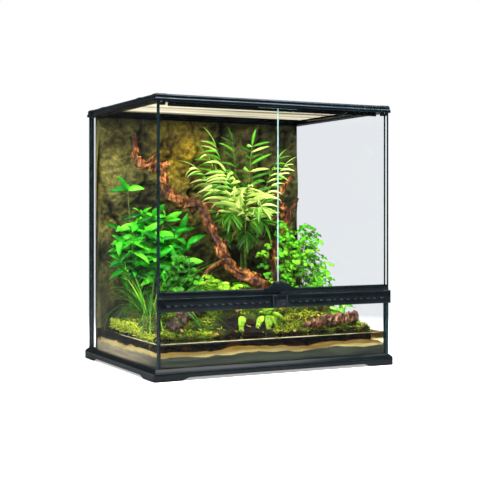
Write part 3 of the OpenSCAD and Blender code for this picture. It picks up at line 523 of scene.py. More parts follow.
# Paler and darker streaks run along the wires: half a metre long and 40 mm wide
streak = add_node(tree, "Mapping", {"Scale": (2.2, 26, 26)}, {"Vector": place.outputs["Object"]})
drawn = add_node(tree, "TexNoise", {"Scale": 1.0, "Detail": 3}, {"Vector": streak.outputs[0]})
# Painted light: the wires are tinted pale cream, as wire lit by the lamps, far paler than bare stainless steel
tint = add_node(tree, "ValToRGB", links={0: drawn.outputs["Fac"]},
                stops=[(0.34, "#5f5744"), (0.48, "#a39a84"), (0.66, "#cdc6b2")])
tree.links.new(tint.outputs[0], shader.inputs["Base Color"])
shader.inputs["Roughness"].default_value = 0.5
through = add_node(tree, "BsdfTranslucent", links={"Color": tint.outputs[0]})
lit = add_node(tree, "MixShader", {0: 0.4}, {1: shader.outputs[0], 2: through.outputs[0]})
tree.links.new(lit.outputs[0], output.inputs["Surface"])

WIRE_PITCH = 2.6 * MM
WIRE_THICK = 0.5 * MM
cloth_low, cloth_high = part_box("cover_mesh")
cloth_mid = (cloth_low.z + cloth_high.z) / 2


def wire_row(bm, along, low, high):
    """Lays straight square wires along one axis between two corners."""
    across = 1 - along
    count = int((high[across] - low[across]) / WIRE_PITCH)
    for n in range(count + 1):
        size = [WIRE_THICK, WIRE_THICK, WIRE_THICK * 0.8]
        size[along] = high[along] - low[along]
        at = [0, 0, cloth_mid]
        at[along] = (low[along] + high[along]) / 2
        at[across] = low[across] + WIRE_THICK / 2 + n * (high[across] - low[across] - WIRE_THICK) / count
        there = Matrix.Translation(at) @ Matrix.Diagonal((*size, 1))
        bmesh.ops.create_cube(bm, size=1, matrix=there)


cloth = bmesh.new()
wire_row(cloth, 0, cloth_low, cloth_high)
wire_row(cloth, 1, cloth_low, cloth_high)
new_piece("wire_cloth", cloth, [wire_cloth], ["cover_mesh"], "screen_cover", smooth=False)

# %% [markdown]
# The back wall is a cast foam panel painted as rock, with broad folds, small bumps, pits and
# a few long cracks. It could be sculpted by hand or moved by a Displace modifier. Here every
# layer is one line of noise in millimetres, so each can be judged and changed by itself, and
# the cracks run where they are drawn.

# %% Cracks and relief of the rock
# noise_vector shifts its pattern by the clock, unless it gets a seed
ROCK_SEED = 1795542962
noise.seed_set(ROCK_SEED)

# Long cracks of the casting, each as points (x, z) in millimetres, with its width and depth
ROCK_CRACKS = (
    (((-282, 470), (-262, 400), (-232, 330), (-214, 250), (-205, 150)), 6, 8),
    (((-170, 600), (-176, 540), (-160, 480), (-176, 400), (-168, 330)), 6, 5),
    (((-96, 600), (-90, 530), (-104, 460), (-92, 390), (-118, 320)), 5, 4),
    (((-30, 600), (-18, 520), (-34, 440), (-26, 360)), 6, 6),
    (((60, 600), (48, 520), (70, 440), (52, 350)), 8, 8),
    (((180, 600), (164, 520), (186, 440)), 7, 7),
)


def crack_depth(x, z):
    """How deep the nearest cracks cut at a point of the panel, in millimetres."""
    deepest = 0
    for points, width, depth in ROCK_CRACKS:
        for (x0, z0), (x1, z1) in zip(points, points[1:]):
            run = (x1 - x0) ** 2 + (z1 - z0) ** 2
            t = max(0, min(1, ((x - x0) * (x1 - x0) + (z - z0) * (z1 - z0)) / run))
            away = math.hypot(x - x0 - t * (x1 - x0), z - z0 - t * (z1 - z0))
            deepest = max(deepest, depth * math.exp(-((away / width) ** 2)))
    return deepest


def rock_relief(x, z):
    """Height of the relief over the plain panel in millimetres: folds, bumps, pits and cracks."""
    at = Vector((x, z, 0))
    warp = noise.noise_vector(at / 90) * 26
    folds = noise.fractal((at + warp) / 70, 1.0, 2.0, 3) * 7
    bumps = noise.fractal((at + warp * 0.5) / 13, 0.7, 2.0, 4) * 4.2
    pits = min(0, noise.noise(at / 7) + 0.1) * 4
    bends = noise.noise(at / 22) * 9
    return folds + bumps + pits - crack_depth(x + bends, z + bends * 0.5)


print("a crack's bottom lies", round(crack_depth(-262, 400), 1), "mm deep")

# %% [markdown]
# The panel starts from its CAD node, so its ledges lie where the solid's do. Only its front is
# cut finer and moved. Near the side panes and the rim the relief fades out, and the foam
# never gets thinner than a few millimetres. Each point keeps how hollow it lies, for the
# painted shade in its hollows.

# %% Rock panel
# Metres: the furthest back and the furthest forward that the moved front may lie
ROCK_BACK_LIMIT = 0.2105
ROCK_FRONT_LIMIT = 0.146
# Millimetres: where the relief has faded out at the sides and at the top, and over what width
FADE_X, FADE_X_WIDTH = 284, 12
FADE_Z, FADE_Z_WIDTH = 600, 10
# The casting is trimmed to the rim on site, so its top closes up to it
TRIM_FROM, TRIM_RISE = 0.598, 0.0026

rock = merged_copy("background_panel")
facing = {f for f in rock.faces if f.normal.y < -0.15 and len(f.verts) == 3}
for cuts in (3, 1):
    edges = [e for e in rock.edges if any(f in facing for f in e.link_faces)]
    bmesh.ops.subdivide_edges(rock, edges=edges, cuts=cuts, use_grid_fill=True)
    facing = {f for f in rock.faces if f.normal.y < -0.15 and f.calc_area() < 4e-4}
bmesh.ops.triangulate(rock, faces=[f for f in rock.faces if len(f.verts) > 4])
hollow = rock.verts.layers.float.new("hollow")
for v in rock.verts:
    if v.co.y < ROCK_BACK_LIMIT:
        x, z = v.co.x / MM, v.co.z / MM
        lift = rock_relief(x, z)
        fade = min(1, max(0, (FADE_X - abs(x)) / FADE_X_WIDTH), max(0, (FADE_Z - z) / FADE_Z_WIDTH))
        v.co.y = min(ROCK_BACK_LIMIT, max(ROCK_FRONT_LIMIT, v.co.y - lift * fade * MM))
        v[hollow] = max(0, min(1, 0.5 - lift / 22))
    if v.co.z > TRIM_FROM:
        v.co.z += TRIM_RISE
print("rock points", len(rock.verts))

# %% [markdown]
# The foam is dyed olive and sponged with pale grit, and its hollows are darkened as painted
# shade. The shade could follow a noise of its own, but shade gathers where the relief is deep,
# so it reads the hollow that each point has kept.

# %% Painted rock
rock_paint, tree, shader, output = start_material("painted_foam_rock")
place = add_node(tree, "TexCoord")
cavity = add_node(tree, "Attribute", attribute_name="hollow")
stain = add_node(tree, "TexNoise", {"Scale": every(120), "Detail": 5, "Roughness": 0.6},
                 {"Vector": place.outputs["Object"]})
speck = add_node(tree, "TexNoise", {"Scale": every(9), "Detail": 6, "Roughness": 0.8},
                 {"Vector": place.outputs["Object"]})
dye = add_node(tree, "ValToRGB", links={0: stain.outputs["Fac"]},
               stops=[(0.3, "#3a3c20"), (0.44, "#57562a"), (0.56, "#6c6733"), (0.7, "#8c8238")])
# One broad ledge under the lamp is painted ochre, as a pool of light from that lamp
LIT_LEDGE_AT = (-0.055, 0.165, 0.52)
ledge = add_node(tree, "VectorMath", {1: LIT_LEDGE_AT}, {0: place.outputs["Object"]}, operation="DISTANCE")
ledge_light_share = add_node(tree, "MapRange", {"From Min": 0.03, "From Max": 0.12, "To Min": 0.9, "To Max": 0.0},
                      {"Value": ledge.outputs["Value"]})
dye = add_node(tree, "Mix", {7: linear("#b08f1c")}, {0: ledge_light_share.outputs[0], 6: dye.outputs[0]},
               data_type="RGBA")
grit = add_node(tree, "ValToRGB", links={0: speck.outputs["Fac"]},
                stops=[(0.36, "#1a1b0e"), (0.5, "#7c7c58"), (0.64, "#d6d2aa")])
mixed = add_node(tree, "Mix", {0: 0.6}, {6: dye.outputs[2], 7: grit.outputs[0]},
                 data_type="RGBA", blend_type="OVERLAY")
# Painted shade: the deeper a point lies in a hollow, the darker it is
shade = add_node(tree, "ValToRGB", links={0: cavity.outputs["Fac"]},
                 stops=[(0.38, "#ffffff"), (0.66, "#989274"), (0.95, "#2c2818")])
hollow_shaded_rock = add_node(tree, "Mix", {0: 1.0}, {6: mixed.outputs[2], 7: shade.outputs[0]},
                data_type="RGBA", blend_type="MULTIPLY")
skin = add_node(tree, "Bump", {"Strength": 1.0, "Distance": 4 * MM}, {"Height": speck.outputs["Fac"]})
tree.links.new(hollow_shaded_rock.outputs[2], shader.inputs["Base Color"])
tree.links.new(skin.outputs[0], shader.inputs["Normal"])
shader.inputs["Roughness"].default_value = 0.85
new_piece("rock_panel", rock, [rock_paint], ["background_panel"])

# %% [markdown]
# Sand, soil and moss keep the outline that the CAD gives them and are cut finer. They could
# be poured as loose grains, but that takes long and comes to rest elsewhere each time it is
# changed. A height over the plan moves only the upper faces instead, so each layer still
# lies against the glass and on what carries it.

# %% Ground helpers
# The inner faces of the glass, and how far the ground stays off them, in metres
INNER_X = 0.295
INNER_Y = 0.215
GLASS_GAP = 0.25 * MM
# A face counts as upper where its normal points up by more than this
UPPER = 0.35


def ground_copy(node, rounds, ripple, slump=0.0):
    """A finer copy of a ground node, held just off the glass, with its top moved by ripple(x, y)
    and its free sides by up to slump millimetres."""
    bm = merged_copy(node)
    for _ in range(rounds):
        bmesh.ops.subdivide_edges(bm, edges=bm.edges, cuts=1, use_grid_fill=True)
    bm.normal_update()
    for v in bm.verts:
        if v.normal.z > UPPER:
            v.co.z += ripple(v.co.x / MM, v.co.y / MM) * MM
        elif slump and abs(v.co.x) < INNER_X - 0.004 and v.co.y > 0.004 - INNER_Y:
            v.co += v.normal * noise.fractal(v.co * 38, 0.8, 2.0, 3) * slump * MM
        v.co.x = max(GLASS_GAP - INNER_X, min(INNER_X - GLASS_GAP, v.co.x))
        v.co.y = max(GLASS_GAP - INNER_Y, min(INNER_Y - GLASS_GAP, v.co.y))
    return bm


def ripples(size_mm, height_mm, seed):
    """A soft uneven height over the plan, in millimetres, with features of one size."""
    def height(x, y):
        return noise.fractal(Vector((x / size_mm, y / size_mm, seed)), 1.0, 2.0, 3) * height_mm
    return height


# %% [markdown]
# The shore and the floor of the pool are washed river sand: pale lit grains on top, and a
# grey-green face, painted dark as shade, where it lies against the glass. Its grains could never
# be modelled one by one, so they are noise, at 1.4 mm instead of the real half millimetre, and
# only the low ripples are real shape. The shaded face is a second material on the faces that
# lie on the glass.

# %% Sand
sand, tree, shader, output = start_material("river_sand")
place = add_node(tree, "TexCoord")
grains = add_node(tree, "TexNoise", {"Scale": every(1.4), "Detail": 3, "Roughness": 0.7},
                  {"Vector": place.outputs["Object"]})
drift = add_node(tree, "TexNoise", {"Scale": every(60), "Detail": 3}, {"Vector": place.outputs["Object"]})
tone = add_node(tree, "ValToRGB", links={0: drift.outputs["Fac"]},
                stops=[(0.3, "#e2c890"), (0.55, "#f6e6bc"), (0.75, "#fff4d8")])
fleck = add_node(tree, "ValToRGB", links={0: grains.outputs["Fac"]},
                 stops=[(0.3, "#8f7646"), (0.5, "#ffffff"), (0.8, "#ffffff")])
mixed = add_node(tree, "Mix", {0: 0.5}, {6: tone.outputs[0], 7: fleck.outputs[0]},
                 data_type="RGBA", blend_type="MULTIPLY")
skin = add_node(tree, "Bump", {"Strength": 0.5, "Distance": 0.6 * MM}, {"Height": grains.outputs["Fac"]})
tree.links.new(mixed.outputs[2], shader.inputs["Base Color"])
tree.links.new(skin.outputs[0], shader.inputs["Normal"])
shader.inputs["Roughness"].default_value = 0.75

# Painted shade: the faces that lie on the glass are darker and grey-green
sand_face_shade, tree, shader, output = start_material("sand_face_painted_shade")
place = add_node(tree, "TexCoord")
where = add_node(tree, "SeparateXYZ", links={0: place.outputs["Object"]})
grains = add_node(tree, "TexNoise", {"Scale": every(1.6), "Detail": 3, "Roughness": 0.7},
                  {"Vector": place.outputs["Object"]})
# Settled sand lies in flat beds, about 80 mm long and 9 mm high
layers = add_node(tree, "Mapping", {"Scale": (12, 12, 110)}, {"Vector": place.outputs["Object"]})
bedding = add_node(tree, "TexNoise", {"Scale": 1.0, "Detail": 3}, {"Vector": layers.outputs[0]})
front_shade_tone = add_node(tree, "ValToRGB", links={0: bedding.outputs["Fac"]},
                      stops=[(0.35, "#1e2519"), (0.65, "#343b26")])
side_shade_tone = add_node(tree, "ValToRGB", links={0: bedding.outputs["Fac"]},
                     stops=[(0.35, "#7d7258"), (0.65, "#a5987a")])
# The front face is painted dark grey-green as shade, and the side faces a lighter shade that takes over towards
# the back
to_back = add_node(tree, "MapRange", {"From Min": -0.21, "From Max": -0.06}, {"Value": where.outputs["Y"]})
faced = add_node(tree, "Mix",
                 links={0: to_back.outputs[0], 6: front_shade_tone.outputs[0], 7: side_shade_tone.outputs[0]},
                 data_type="RGBA")
fleck = add_node(tree, "ValToRGB", links={0: grains.outputs["Fac"]},
                 stops=[(0.3, "#9a9a90"), (0.6, "#ffffff")])
mixed = add_node(tree, "Mix", {0: 0.45}, {6: faced.outputs[2], 7: fleck.outputs[0]},
                 data_type="RGBA", blend_type="MULTIPLY")
tree.links.new(mixed.outputs[2], shader.inputs["Base Color"])
shader.inputs["Roughness"].default_value = 0.6

sand_heap = ground_copy("sand_bed", 2, ripples(38, 3.0, 3.1))
for face in sand_heap.faces:
    middle = face.calc_center_median()
    on_glass = abs(middle.x) > INNER_X - 0.001 or middle.y < 0.001 - INNER_Y
    face.material_index = 1 if on_glass else 0
new_piece("sand", sand_heap, [sand, sand_face_shade], ["sand_bed"])

# %% [markdown]
# The pool is still water with a little peat in it: clear from above, olive where the eye
# looks along it. Water could be a refracting volume, but that hides the sand behind noise and
# takes far longer. So each of its faces tints what is seen through it, the sides more than
# the top, with a dark band under the surface painted as the surface's reflection of the dark
# bank seen from below, and Fresnel decides how much it mirrors.

# %% Water
water, tree, shader, output = start_material("peaty_water")
shape = add_node(tree, "NewGeometry")
split = add_node(tree, "SeparateXYZ", links={0: shape.outputs["True Normal"]})
up_face = add_node(tree, "Math", {1: 0.5}, {0: split.outputs["Z"]}, operation="GREATER_THAN")
tint = add_node(tree, "Mix", {6: linear("#e6e2c6"), 7: linear("#f6f5e8")}, {0: up_face.outputs[0]},
                data_type="RGBA")
place = add_node(tree, "TexCoord")
# A painted reflection: under the surface the sides darken in a band, as the surface mirrors the dark bank from
# below, deeper in some places than in others
where = add_node(tree, "SeparateXYZ", links={0: place.outputs["Object"]})
drift = add_node(tree, "TexNoise", {"Scale": every(110), "Detail": 2}, {"Vector": place.outputs["Object"]})
depth = add_node(tree, "MapRange", {"From Min": 0.35, "From Max": 0.65, "To Min": 0.072, "To Max": 0.058},
                 {"Value": drift.outputs["Fac"]})
above = add_node(tree, "Math", links={0: where.outputs["Z"], 1: depth.outputs[0]}, operation="SUBTRACT")
reflection_band = add_node(tree, "MapRange", {"From Min": -0.002, "From Max": 0.003, "To Min": 0.0, "To Max": 1.0},
                {"Value": above.outputs[0]})
flat = add_node(tree, "Math", {0: 1.0}, {1: up_face.outputs[0]}, operation="SUBTRACT")
painted_reflection = add_node(tree, "Math", links={0: reflection_band.outputs[0], 1: flat.outputs[0]}, operation="MULTIPLY")
tint_and_reflection = add_node(tree, "Mix", {7: linear("#7a6838")}, {0: painted_reflection.outputs[0], 6: tint.outputs[2]},
                   data_type="RGBA")
swell = add_node(tree, "TexNoise", {"Scale": every(25), "Detail": 2}, {"Vector": place.outputs["Object"]})
skin = add_node(tree, "Bump", {"Strength": 0.25, "Distance": 1.0 * MM}, {"Height": swell.outputs["Fac"]})
clear = add_node(tree, "BsdfTransparent", links={"Color": tint_and_reflection.outputs[2]})
shine = add_node(tree, "BsdfGlossy", {"Roughness": 0.03}, {"Normal": skin.outputs[0]})
mirror = add_node(tree, "Fresnel", {"IOR": 1.33}, {"Normal": skin.outputs[0]})
front = add_node(tree, "Math", {0: 1.0}, {1: shape.outputs["Backfacing"]}, operation="SUBTRACT")
gleam = add_node(tree, "Math", links={0: mirror.outputs[0], 1: front.outputs[0]}, operation="MULTIPLY")
mixed = add_node(tree, "MixShader",
                 links={0: gleam.outputs[0], 1: clear.outputs[0], 2: shine.outputs[0]})
tree.links.new(mixed.outputs[0], output.inputs["Surface"])

# The pool is drawn in a hair, and its bed sunk into the rippled sand, so that no two faces meet
POOL_SHRINK = 0.9995
BED_BELOW, BED_SINK = 0.0775, 0.004

pool = ground_copy("water", 1, lambda x, y: 0.0)
for v in pool.verts:
    v.co.x *= POOL_SHRINK
    v.co.y *= POOL_SHRINK
    if v.co.z < BED_BELOW:
        v.co.z -= BED_SINK
new_piece("pool", pool, [water], ["water"])

# %% [markdown]
# Water climbs the glass a little, and that thin rim catches the light as one pale line. As a
# curved lip on the pool's own mesh it would be far too thin to see, so it is a bead of its
# own along the three panes, flattened against them and drawn about 2 mm high.

# %% Water's edge
meniscus, tree, shader, output = start_material("water_meniscus")
place = add_node(tree, "TexCoord")
break_up = add_node(tree, "TexNoise", {"Scale": every(30), "Detail": 3}, {"Vector": place.outputs["Object"]})
tint = add_node(tree, "ValToRGB", links={0: break_up.outputs["Fac"]},
                stops=[(0.35, "#8f8a5a"), (0.65, "#d8cfa2")])
tree.links.new(tint.outputs[0], shader.inputs["Base Color"])
shader.inputs["Roughness"].default_value = 0.2
shader.inputs["IOR"].default_value = 1.33

WATER_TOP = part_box("water")[1].z
BEAD_RADIUS = 1.0 * MM
# Each stretch from one point to the next, in shares of the way from the middle to the glass
STRETCHES = (((-1, 0.05), (-1, -1)), ((-1, -1), (1, -1)), ((1, -1), (1, 0.3)))
reach_x, reach_y = INNER_X - 0.6 * MM, INNER_Y - 0.6 * MM

rim_line = bmesh.new()
for a, b in STRETCHES:
    start = Vector((a[0] * reach_x, a[1] * reach_y, WATER_TOP))
    finish = Vector((b[0] * reach_x, b[1] * reach_y, WATER_TOP))
    along = finish - start
    turn = along.to_track_quat("Z", "Y").to_matrix().to_4x4()
    there = Matrix.Translation((start + finish) / 2) @ turn @ Matrix.Diagonal((0.5, 1, 1, 1))
    bmesh.ops.create_cone(rim_line, cap_ends=True, segments=6, radius1=BEAD_RADIUS,
                          radius2=BEAD_RADIUS, depth=along.length, matrix=there)
new_piece("water_edge", rim_line, [meniscus])

# %% [markdown]
# The bank is dark compost with bark and leaf litter in it. Crumbs a few millimetres wide are
# cells of a Voronoi pattern, which has the hard edges that soft noise lacks, and they only
# shade the surface. Slumps and hollows are big enough to see in outline, so those are shape.

# %% Soil
soil, tree, shader, output = start_material("leaf_compost")
place = add_node(tree, "TexCoord")
crumb = add_node(tree, "TexVoronoi", {"Scale": every(7)}, {"Vector": place.outputs["Object"]})
patch = add_node(tree, "TexNoise", {"Scale": every(26), "Detail": 5}, {"Vector": place.outputs["Object"]})
tone = add_node(tree, "ValToRGB", links={0: patch.outputs["Fac"]},
                stops=[(0.3, "#0d0906"), (0.5, "#2a1c10"), (0.66, "#6b4526"), (0.8, "#94683c")])
skin = add_node(tree, "Bump", {"Strength": 0.9, "Distance": 2.0 * MM}, {"Height": crumb.outputs["Distance"]})
tree.links.new(tone.outputs[0], shader.inputs["Base Color"])
tree.links.new(skin.outputs[0], shader.inputs["Normal"])
shader.inputs["Roughness"].default_value = 0.8

soil_ground = ground_copy("soil_bank", 2, ripples(14, 2.0, 8.0), slump=12)
new_piece("soil", soil_ground, [soil], ["soil_bank"])

# %% [markdown]
# A carpet of sheet moss covers the bank: cushions of tiny tufts, yellow-green where they are
# young and brown where they have dried. Every tuft could be a hair, but moss is so short that
# its cushions matter more. So the sheet is a rippled ground with tufts as a bump pattern and
# painted shade in the gaps between them, and real sprigs are set on it later. Its shape is kept
# for them to find the ground by.

# %% Moss
moss, tree, shader, output = start_material("sheet_moss")
place = add_node(tree, "TexCoord")
tufts = add_node(tree, "TexVoronoi", {"Scale": every(3.2)}, {"Vector": place.outputs["Object"]})
patch = add_node(tree, "TexNoise", {"Scale": every(34), "Detail": 5}, {"Vector": place.outputs["Object"]})
tone = add_node(tree, "ValToRGB", links={0: patch.outputs["Fac"]},
                stops=[(0.3, "#1f2a08"), (0.45, "#4d6a10"), (0.6, "#87a01a"), (0.75, "#7a5a2a")])
# Painted shade: the gaps between the tufts are darker than their tops
tip = add_node(tree, "ValToRGB", links={0: tufts.outputs["Distance"]},
               stops=[(0.0, "#ffffff"), (0.6, "#4a4a3a")])
mixed = add_node(tree, "Mix", {0: 0.8}, {6: tone.outputs[0], 7: tip.outputs[0]},
                 data_type="RGBA", blend_type="MULTIPLY")
skin = add_node(tree, "Bump", {"Strength": 1.0, "Distance": 2.0 * MM}, {"Height": tufts.outputs["Distance"]})
skin.invert = True
# Between the logs the moss is painted near black as shade
SHADE_PATCH_AT = (-0.04, -0.122, 0.09)
away = add_node(tree, "VectorMath", {1: SHADE_PATCH_AT}, {0: place.outputs["Object"]}, operation="DISTANCE")
painted_light_share = add_node(tree, "MapRange", {"From Min": 0.05, "From Max": 0.085, "To Min": 1.0, "To Max": 0.0},
                {"Value": away.outputs["Value"]})
mixed = add_node(tree, "Mix", {7: linear("#120c06")}, {0: painted_light_share.outputs[0], 6: mixed.outputs[2]},
                 data_type="RGBA")
tree.links.new(mixed.outputs[2], shader.inputs["Base Color"])
tree.links.new(skin.outputs[0], shader.inputs["Normal"])
shader.inputs["Roughness"].default_value = 0.9

moss_ground = ground_copy("moss_carpet", 3, ripples(13, 6.0, 5.0), slump=7)
ground = BVHTree.FromBMesh(moss_ground)
new_piece("moss_sheet", moss_ground, [moss], ["moss_carpet"])

# %% [markdown]
# Wood and stems are a circle of points drawn along a path, as a rope is laid: every ring is
# an extrusion of the last one, set square to the path and sized for that place. A curve with
# a round bevel makes a tube too, but here each ring can also be knotted and hollowed like old
# wood, with noise that runs around and along it.

# %% Sweep helper
# Rings are set square to the path against this direction, which no path follows
SIDE_WAY = Vector((0.12, 1, 0.07))


def sweep(path, radii, sides, per_step=1, gnarl=0.0, seed=0.0):
    """A bmesh tube along smooth path points in millimetres, with per_step rings from each point
    to the next. gnarl twists and pits it like old wood."""
    points = [Vector(p) * MM for p in path]
    rings = []
    last = len(points) - 1
    for i in range(last):
        p0, p1, p2, p3 = points[max(0, i - 1)], points[i], points[i + 1], points[min(last, i + 2)]
        for k in range(per_step):
            t = k / per_step
            at = 0.5 * (2 * p1 + (p2 - p0) * t + (2 * p0 - 5 * p1 + 4 * p2 - p3) * t * t
                        + (3 * p1 - p0 - 3 * p2 + p3) * t ** 3)
            rings.append((at, (radii[i] * (1 - t) + radii[i + 1] * t) * MM))
    rings.append((points[-1], radii[-1] * MM))
    bm = bmesh.new()
    ring = bmesh.ops.create_circle(bm, cap_ends=True, radius=1, segments=sides)["verts"]
    angle_of = {v: math.atan2(v.co.y, v.co.x) for v in ring}
    face = bm.faces[:][0]
    for i, (at, radius) in enumerate(rings):
        before, after = rings[max(0, i - 1)][0], rings[min(len(rings) - 1, i + 1)][0]
        along = (after - before).normalized()
        u = along.cross(SIDE_WAY).normalized()
        w = along.cross(u)
        if i:
            grown = bmesh.ops.extrude_face_region(bm, geom=[face])["geom"]
            fresh = [g for g in grown if isinstance(g, bmesh.types.BMVert)]
            angle_of = {v: angle_of[e.other_vert(v)] for v in fresh for e in v.link_edges
                        if e.other_vert(v) in angle_of}
            if i > 1:
                bmesh.ops.delete(bm, geom=[face], context="FACES_ONLY")
            face = next(g for g in grown if isinstance(g, bmesh.types.BMFace))
        for v, angle in angle_of.items():
            r = radius
            if gnarl:
                turn = angle + 0.13 * i
                spot = Vector((math.cos(turn) * 1.1, math.sin(turn) * 1.1, i * 0.13 + seed))
                knot = max(0, noise.noise(spot * 1.6 + Vector((7, 3, 0))) - 0.12)
                swell = max(0, noise.noise(Vector((seed, 0.21 * i, 1.7)))) * 0.9
                r *= 1 + gnarl * (noise.fractal(spot, 0.7, 2.0, 4) + swell - 2.9 * knot)
            v.co = at + r * (math.cos(angle) * u + math.sin(angle) * w)
    bmesh.ops.recalc_face_normals(bm, faces=bm.faces)
    return bm


def gather(parts):
    """Puts several bmeshes into one."""
    whole = bmesh.new()
    for part in parts:
        data = bpy.data.meshes.new("part")
        part.to_mesh(data)
        part.free()
        whole.from_mesh(data)
        bpy.data.meshes.remove(data)
    return whole


# %% [markdown]
# The branches are root wood that has lain in sand and water: red-brown, deeply grooved, with
# hollows where the soft wood has gone. The logs are wet bark and split pine. Noise that is
# stretched upright gives the grooves, in colour and as a bump together: painted shade, near
# black, deep in each groove and a painted highlight on each ridge, because a groove that is only
# dark looks painted on. The three woods differ in their tones alone, so one function makes them
# all.

# %% Wood finishes
def old_wood(name, dark, middle, light):
    """Grooved, weathered wood in three tones."""
    made, tree, shader, output = start_material(name)
    place = add_node(tree, "TexCoord")
    stretch = add_node(tree, "Mapping", {"Scale": (1, 1, 0.35)}, {"Vector": place.outputs["Object"]})
    groove = add_node(tree, "TexNoise", {"Scale": every(9), "Detail": 6, "Roughness": 0.65, "Distortion": 0.8},
                      {"Vector": stretch.outputs[0]})
    patch = add_node(tree, "TexNoise", {"Scale": every(40), "Detail": 3}, {"Vector": place.outputs["Object"]})
    # Painted shade near black deep in each groove, and a painted highlight on each ridge
    tone = add_node(tree, "ValToRGB", links={0: groove.outputs["Fac"]},
                    stops=[(0.36, dark), (0.5, middle), (0.66, light)])
    wash = add_node(tree, "ValToRGB", links={0: patch.outputs["Fac"]},
                    stops=[(0.38, "#4f4030"), (0.58, "#ffffff")])
    mixed = add_node(tree, "Mix", {0: 0.8}, {6: tone.outputs[0], 7: wash.outputs[0]},
                     data_type="RGBA", blend_type="MULTIPLY")
    skin = add_node(tree, "Bump", {"Strength": 0.9, "Distance": 1.6 * MM}, {"Height": groove.outputs["Fac"]})
    tree.links.new(mixed.outputs[2], shader.inputs["Base Color"])
    tree.links.new(skin.outputs[0], shader.inputs["Normal"])
    shader.inputs["Roughness"].default_value = 0.6
    return made


root_wood = old_wood("river_root_wood", "#0a0401", "#6e3512", "#e29448")
bark_wood = old_wood("wet_dark_bark", "#080503", "#3b281a", "#96735a")
pale_bark = old_wood("split_pine_bark", "#170b06", "#7d4c2c", "#dcb490")

# %% [markdown]
# Two branches climb from the bank, one from left to right across the tank and one upright at
# the right, and two short logs lie at the shore. Each follows the line of its CAD solid, so it
# rests where that rests. A branch is one thick path with thinner limbs pushed into it, since
# real limbs also grow out of the wood without a seam that the eye could find.

# %% Branches
# Points are millimetres, and each path has a radius for every point
MAIN_PATH = ((-217, 122, 552), (-213, 124, 520), (-212, 124, 497), (-184, 120, 481), (-155, 115, 475),
             (-144, 105, 441), (-133, 95, 408), (-100, 85, 390), (-63, 70, 378), (-45, 55, 333), (-27, 40, 287),
             (-15, 25, 248), (9, 10, 219), (56, -10, 190), (82, -18, 168), (96, -24, 112))
MAIN_RADII = (3, 5, 8, 10, 10, 9, 10, 11, 11, 10, 11, 11, 12, 12, 13, 15)
UPRIGHT_PATH = ((214, 100, 458), (190, 100, 430), (169, 100, 403), (182, 98, 380), (199, 95, 361),
                (187, 90, 325), (173, 85, 293), (156, 79, 264), (150, 75, 240), (158, 70, 180), (160, 66, 118))
UPRIGHT_RADII = (2.5, 5, 8, 9, 9, 8, 8, 9, 10, 12, 14)
MAIN_LIMBS = (
    (((-184, 120, 481), (-176, 112, 498), (-160, 108, 512)), (6, 4, 1.5)),
    (((-155, 115, 475), (-140, 110, 484), (-128, 108, 486)), (8, 7, 4)),
    (((-63, 70, 378), (-40, 62, 384), (-22, 58, 372), (-8, 56, 350)), (7, 6, 4, 1.5)),
    (((-27, 40, 287), (0, 36, 296), (26, 36, 318)), (7, 5, 2)),
    (((-15, 25, 248), (-48, 14, 232), (-84, 8, 206), (-112, 0, 165)), (8, 7, 6, 5)),
)
UPRIGHT_LIMBS = (
    (((199, 95, 361), (218, 98, 377), (238, 102, 402)), (7, 5, 2)),
    (((199, 95, 364), (158, 94, 346), (122, 90, 327), (96, 88, 322)), (7, 8, 7, 4)),
    (((150, 75, 240), (136, 66, 266), (134, 60, 292)), (7, 5, 2)),
)


def branch(name, node, path, radii, limbs, seed):
    """A branch of root wood: one thick path and its limbs."""
    parts = [sweep(path, [thick * 1.2 for thick in radii], 30, 10, 0.6, seed)]
    for n, (limb_path, limb_radii) in enumerate(limbs):
        parts.append(sweep(limb_path, limb_radii, 16, 9, 0.45, seed + 5 + n))
    return new_piece(name, gather(parts), [root_wood], [node])


branch("root_wood_branch", "main_branch", MAIN_PATH, MAIN_RADII, MAIN_LIMBS, 1.0)
branch("root_wood_upright", "upright_branch", UPRIGHT_PATH, UPRIGHT_RADII, UPRIGHT_LIMBS, 4.0)

# %% Logs
LEANING_PATH = ((-222, -106, 92), (-194, -88, 108), (-162, -72, 126), (-132, -60, 140), (-110, -50, 146))
LEANING_RADII = (14, 18, 20, 19, 15)
LYING_PATH = ((116, -130, 90), (150, -131, 97), (185, -129, 102), (222, -132, 105), (264, -134, 108))
LYING_RADII = (7, 11, 14, 15, 11)

leaning_log = sweep(LEANING_PATH, LEANING_RADII, 28, 14, 0.45, 11.0)
new_piece("leaning_bark_log", leaning_log, [bark_wood], ["left_log"])
lying_log = sweep(LYING_PATH, LYING_RADII, 28, 14, 0.5, 17.0)
new_piece("lying_bark_log", lying_log, [pale_bark], ["right_log"])

# %% [markdown]
# A leaf starts as a small flat grid. Its width follows a curve from stalk to tip, it folds
# along the midrib, droops along its length, and gets its thickness last. A picture of a leaf
# on a card would be quicker, but it has no edge, no fold and no weight. The grid's own UV map
# stays on the blade, so a material can find the midrib.

# %% Leaf blade
LEAF_THICK = 0.35 * MM


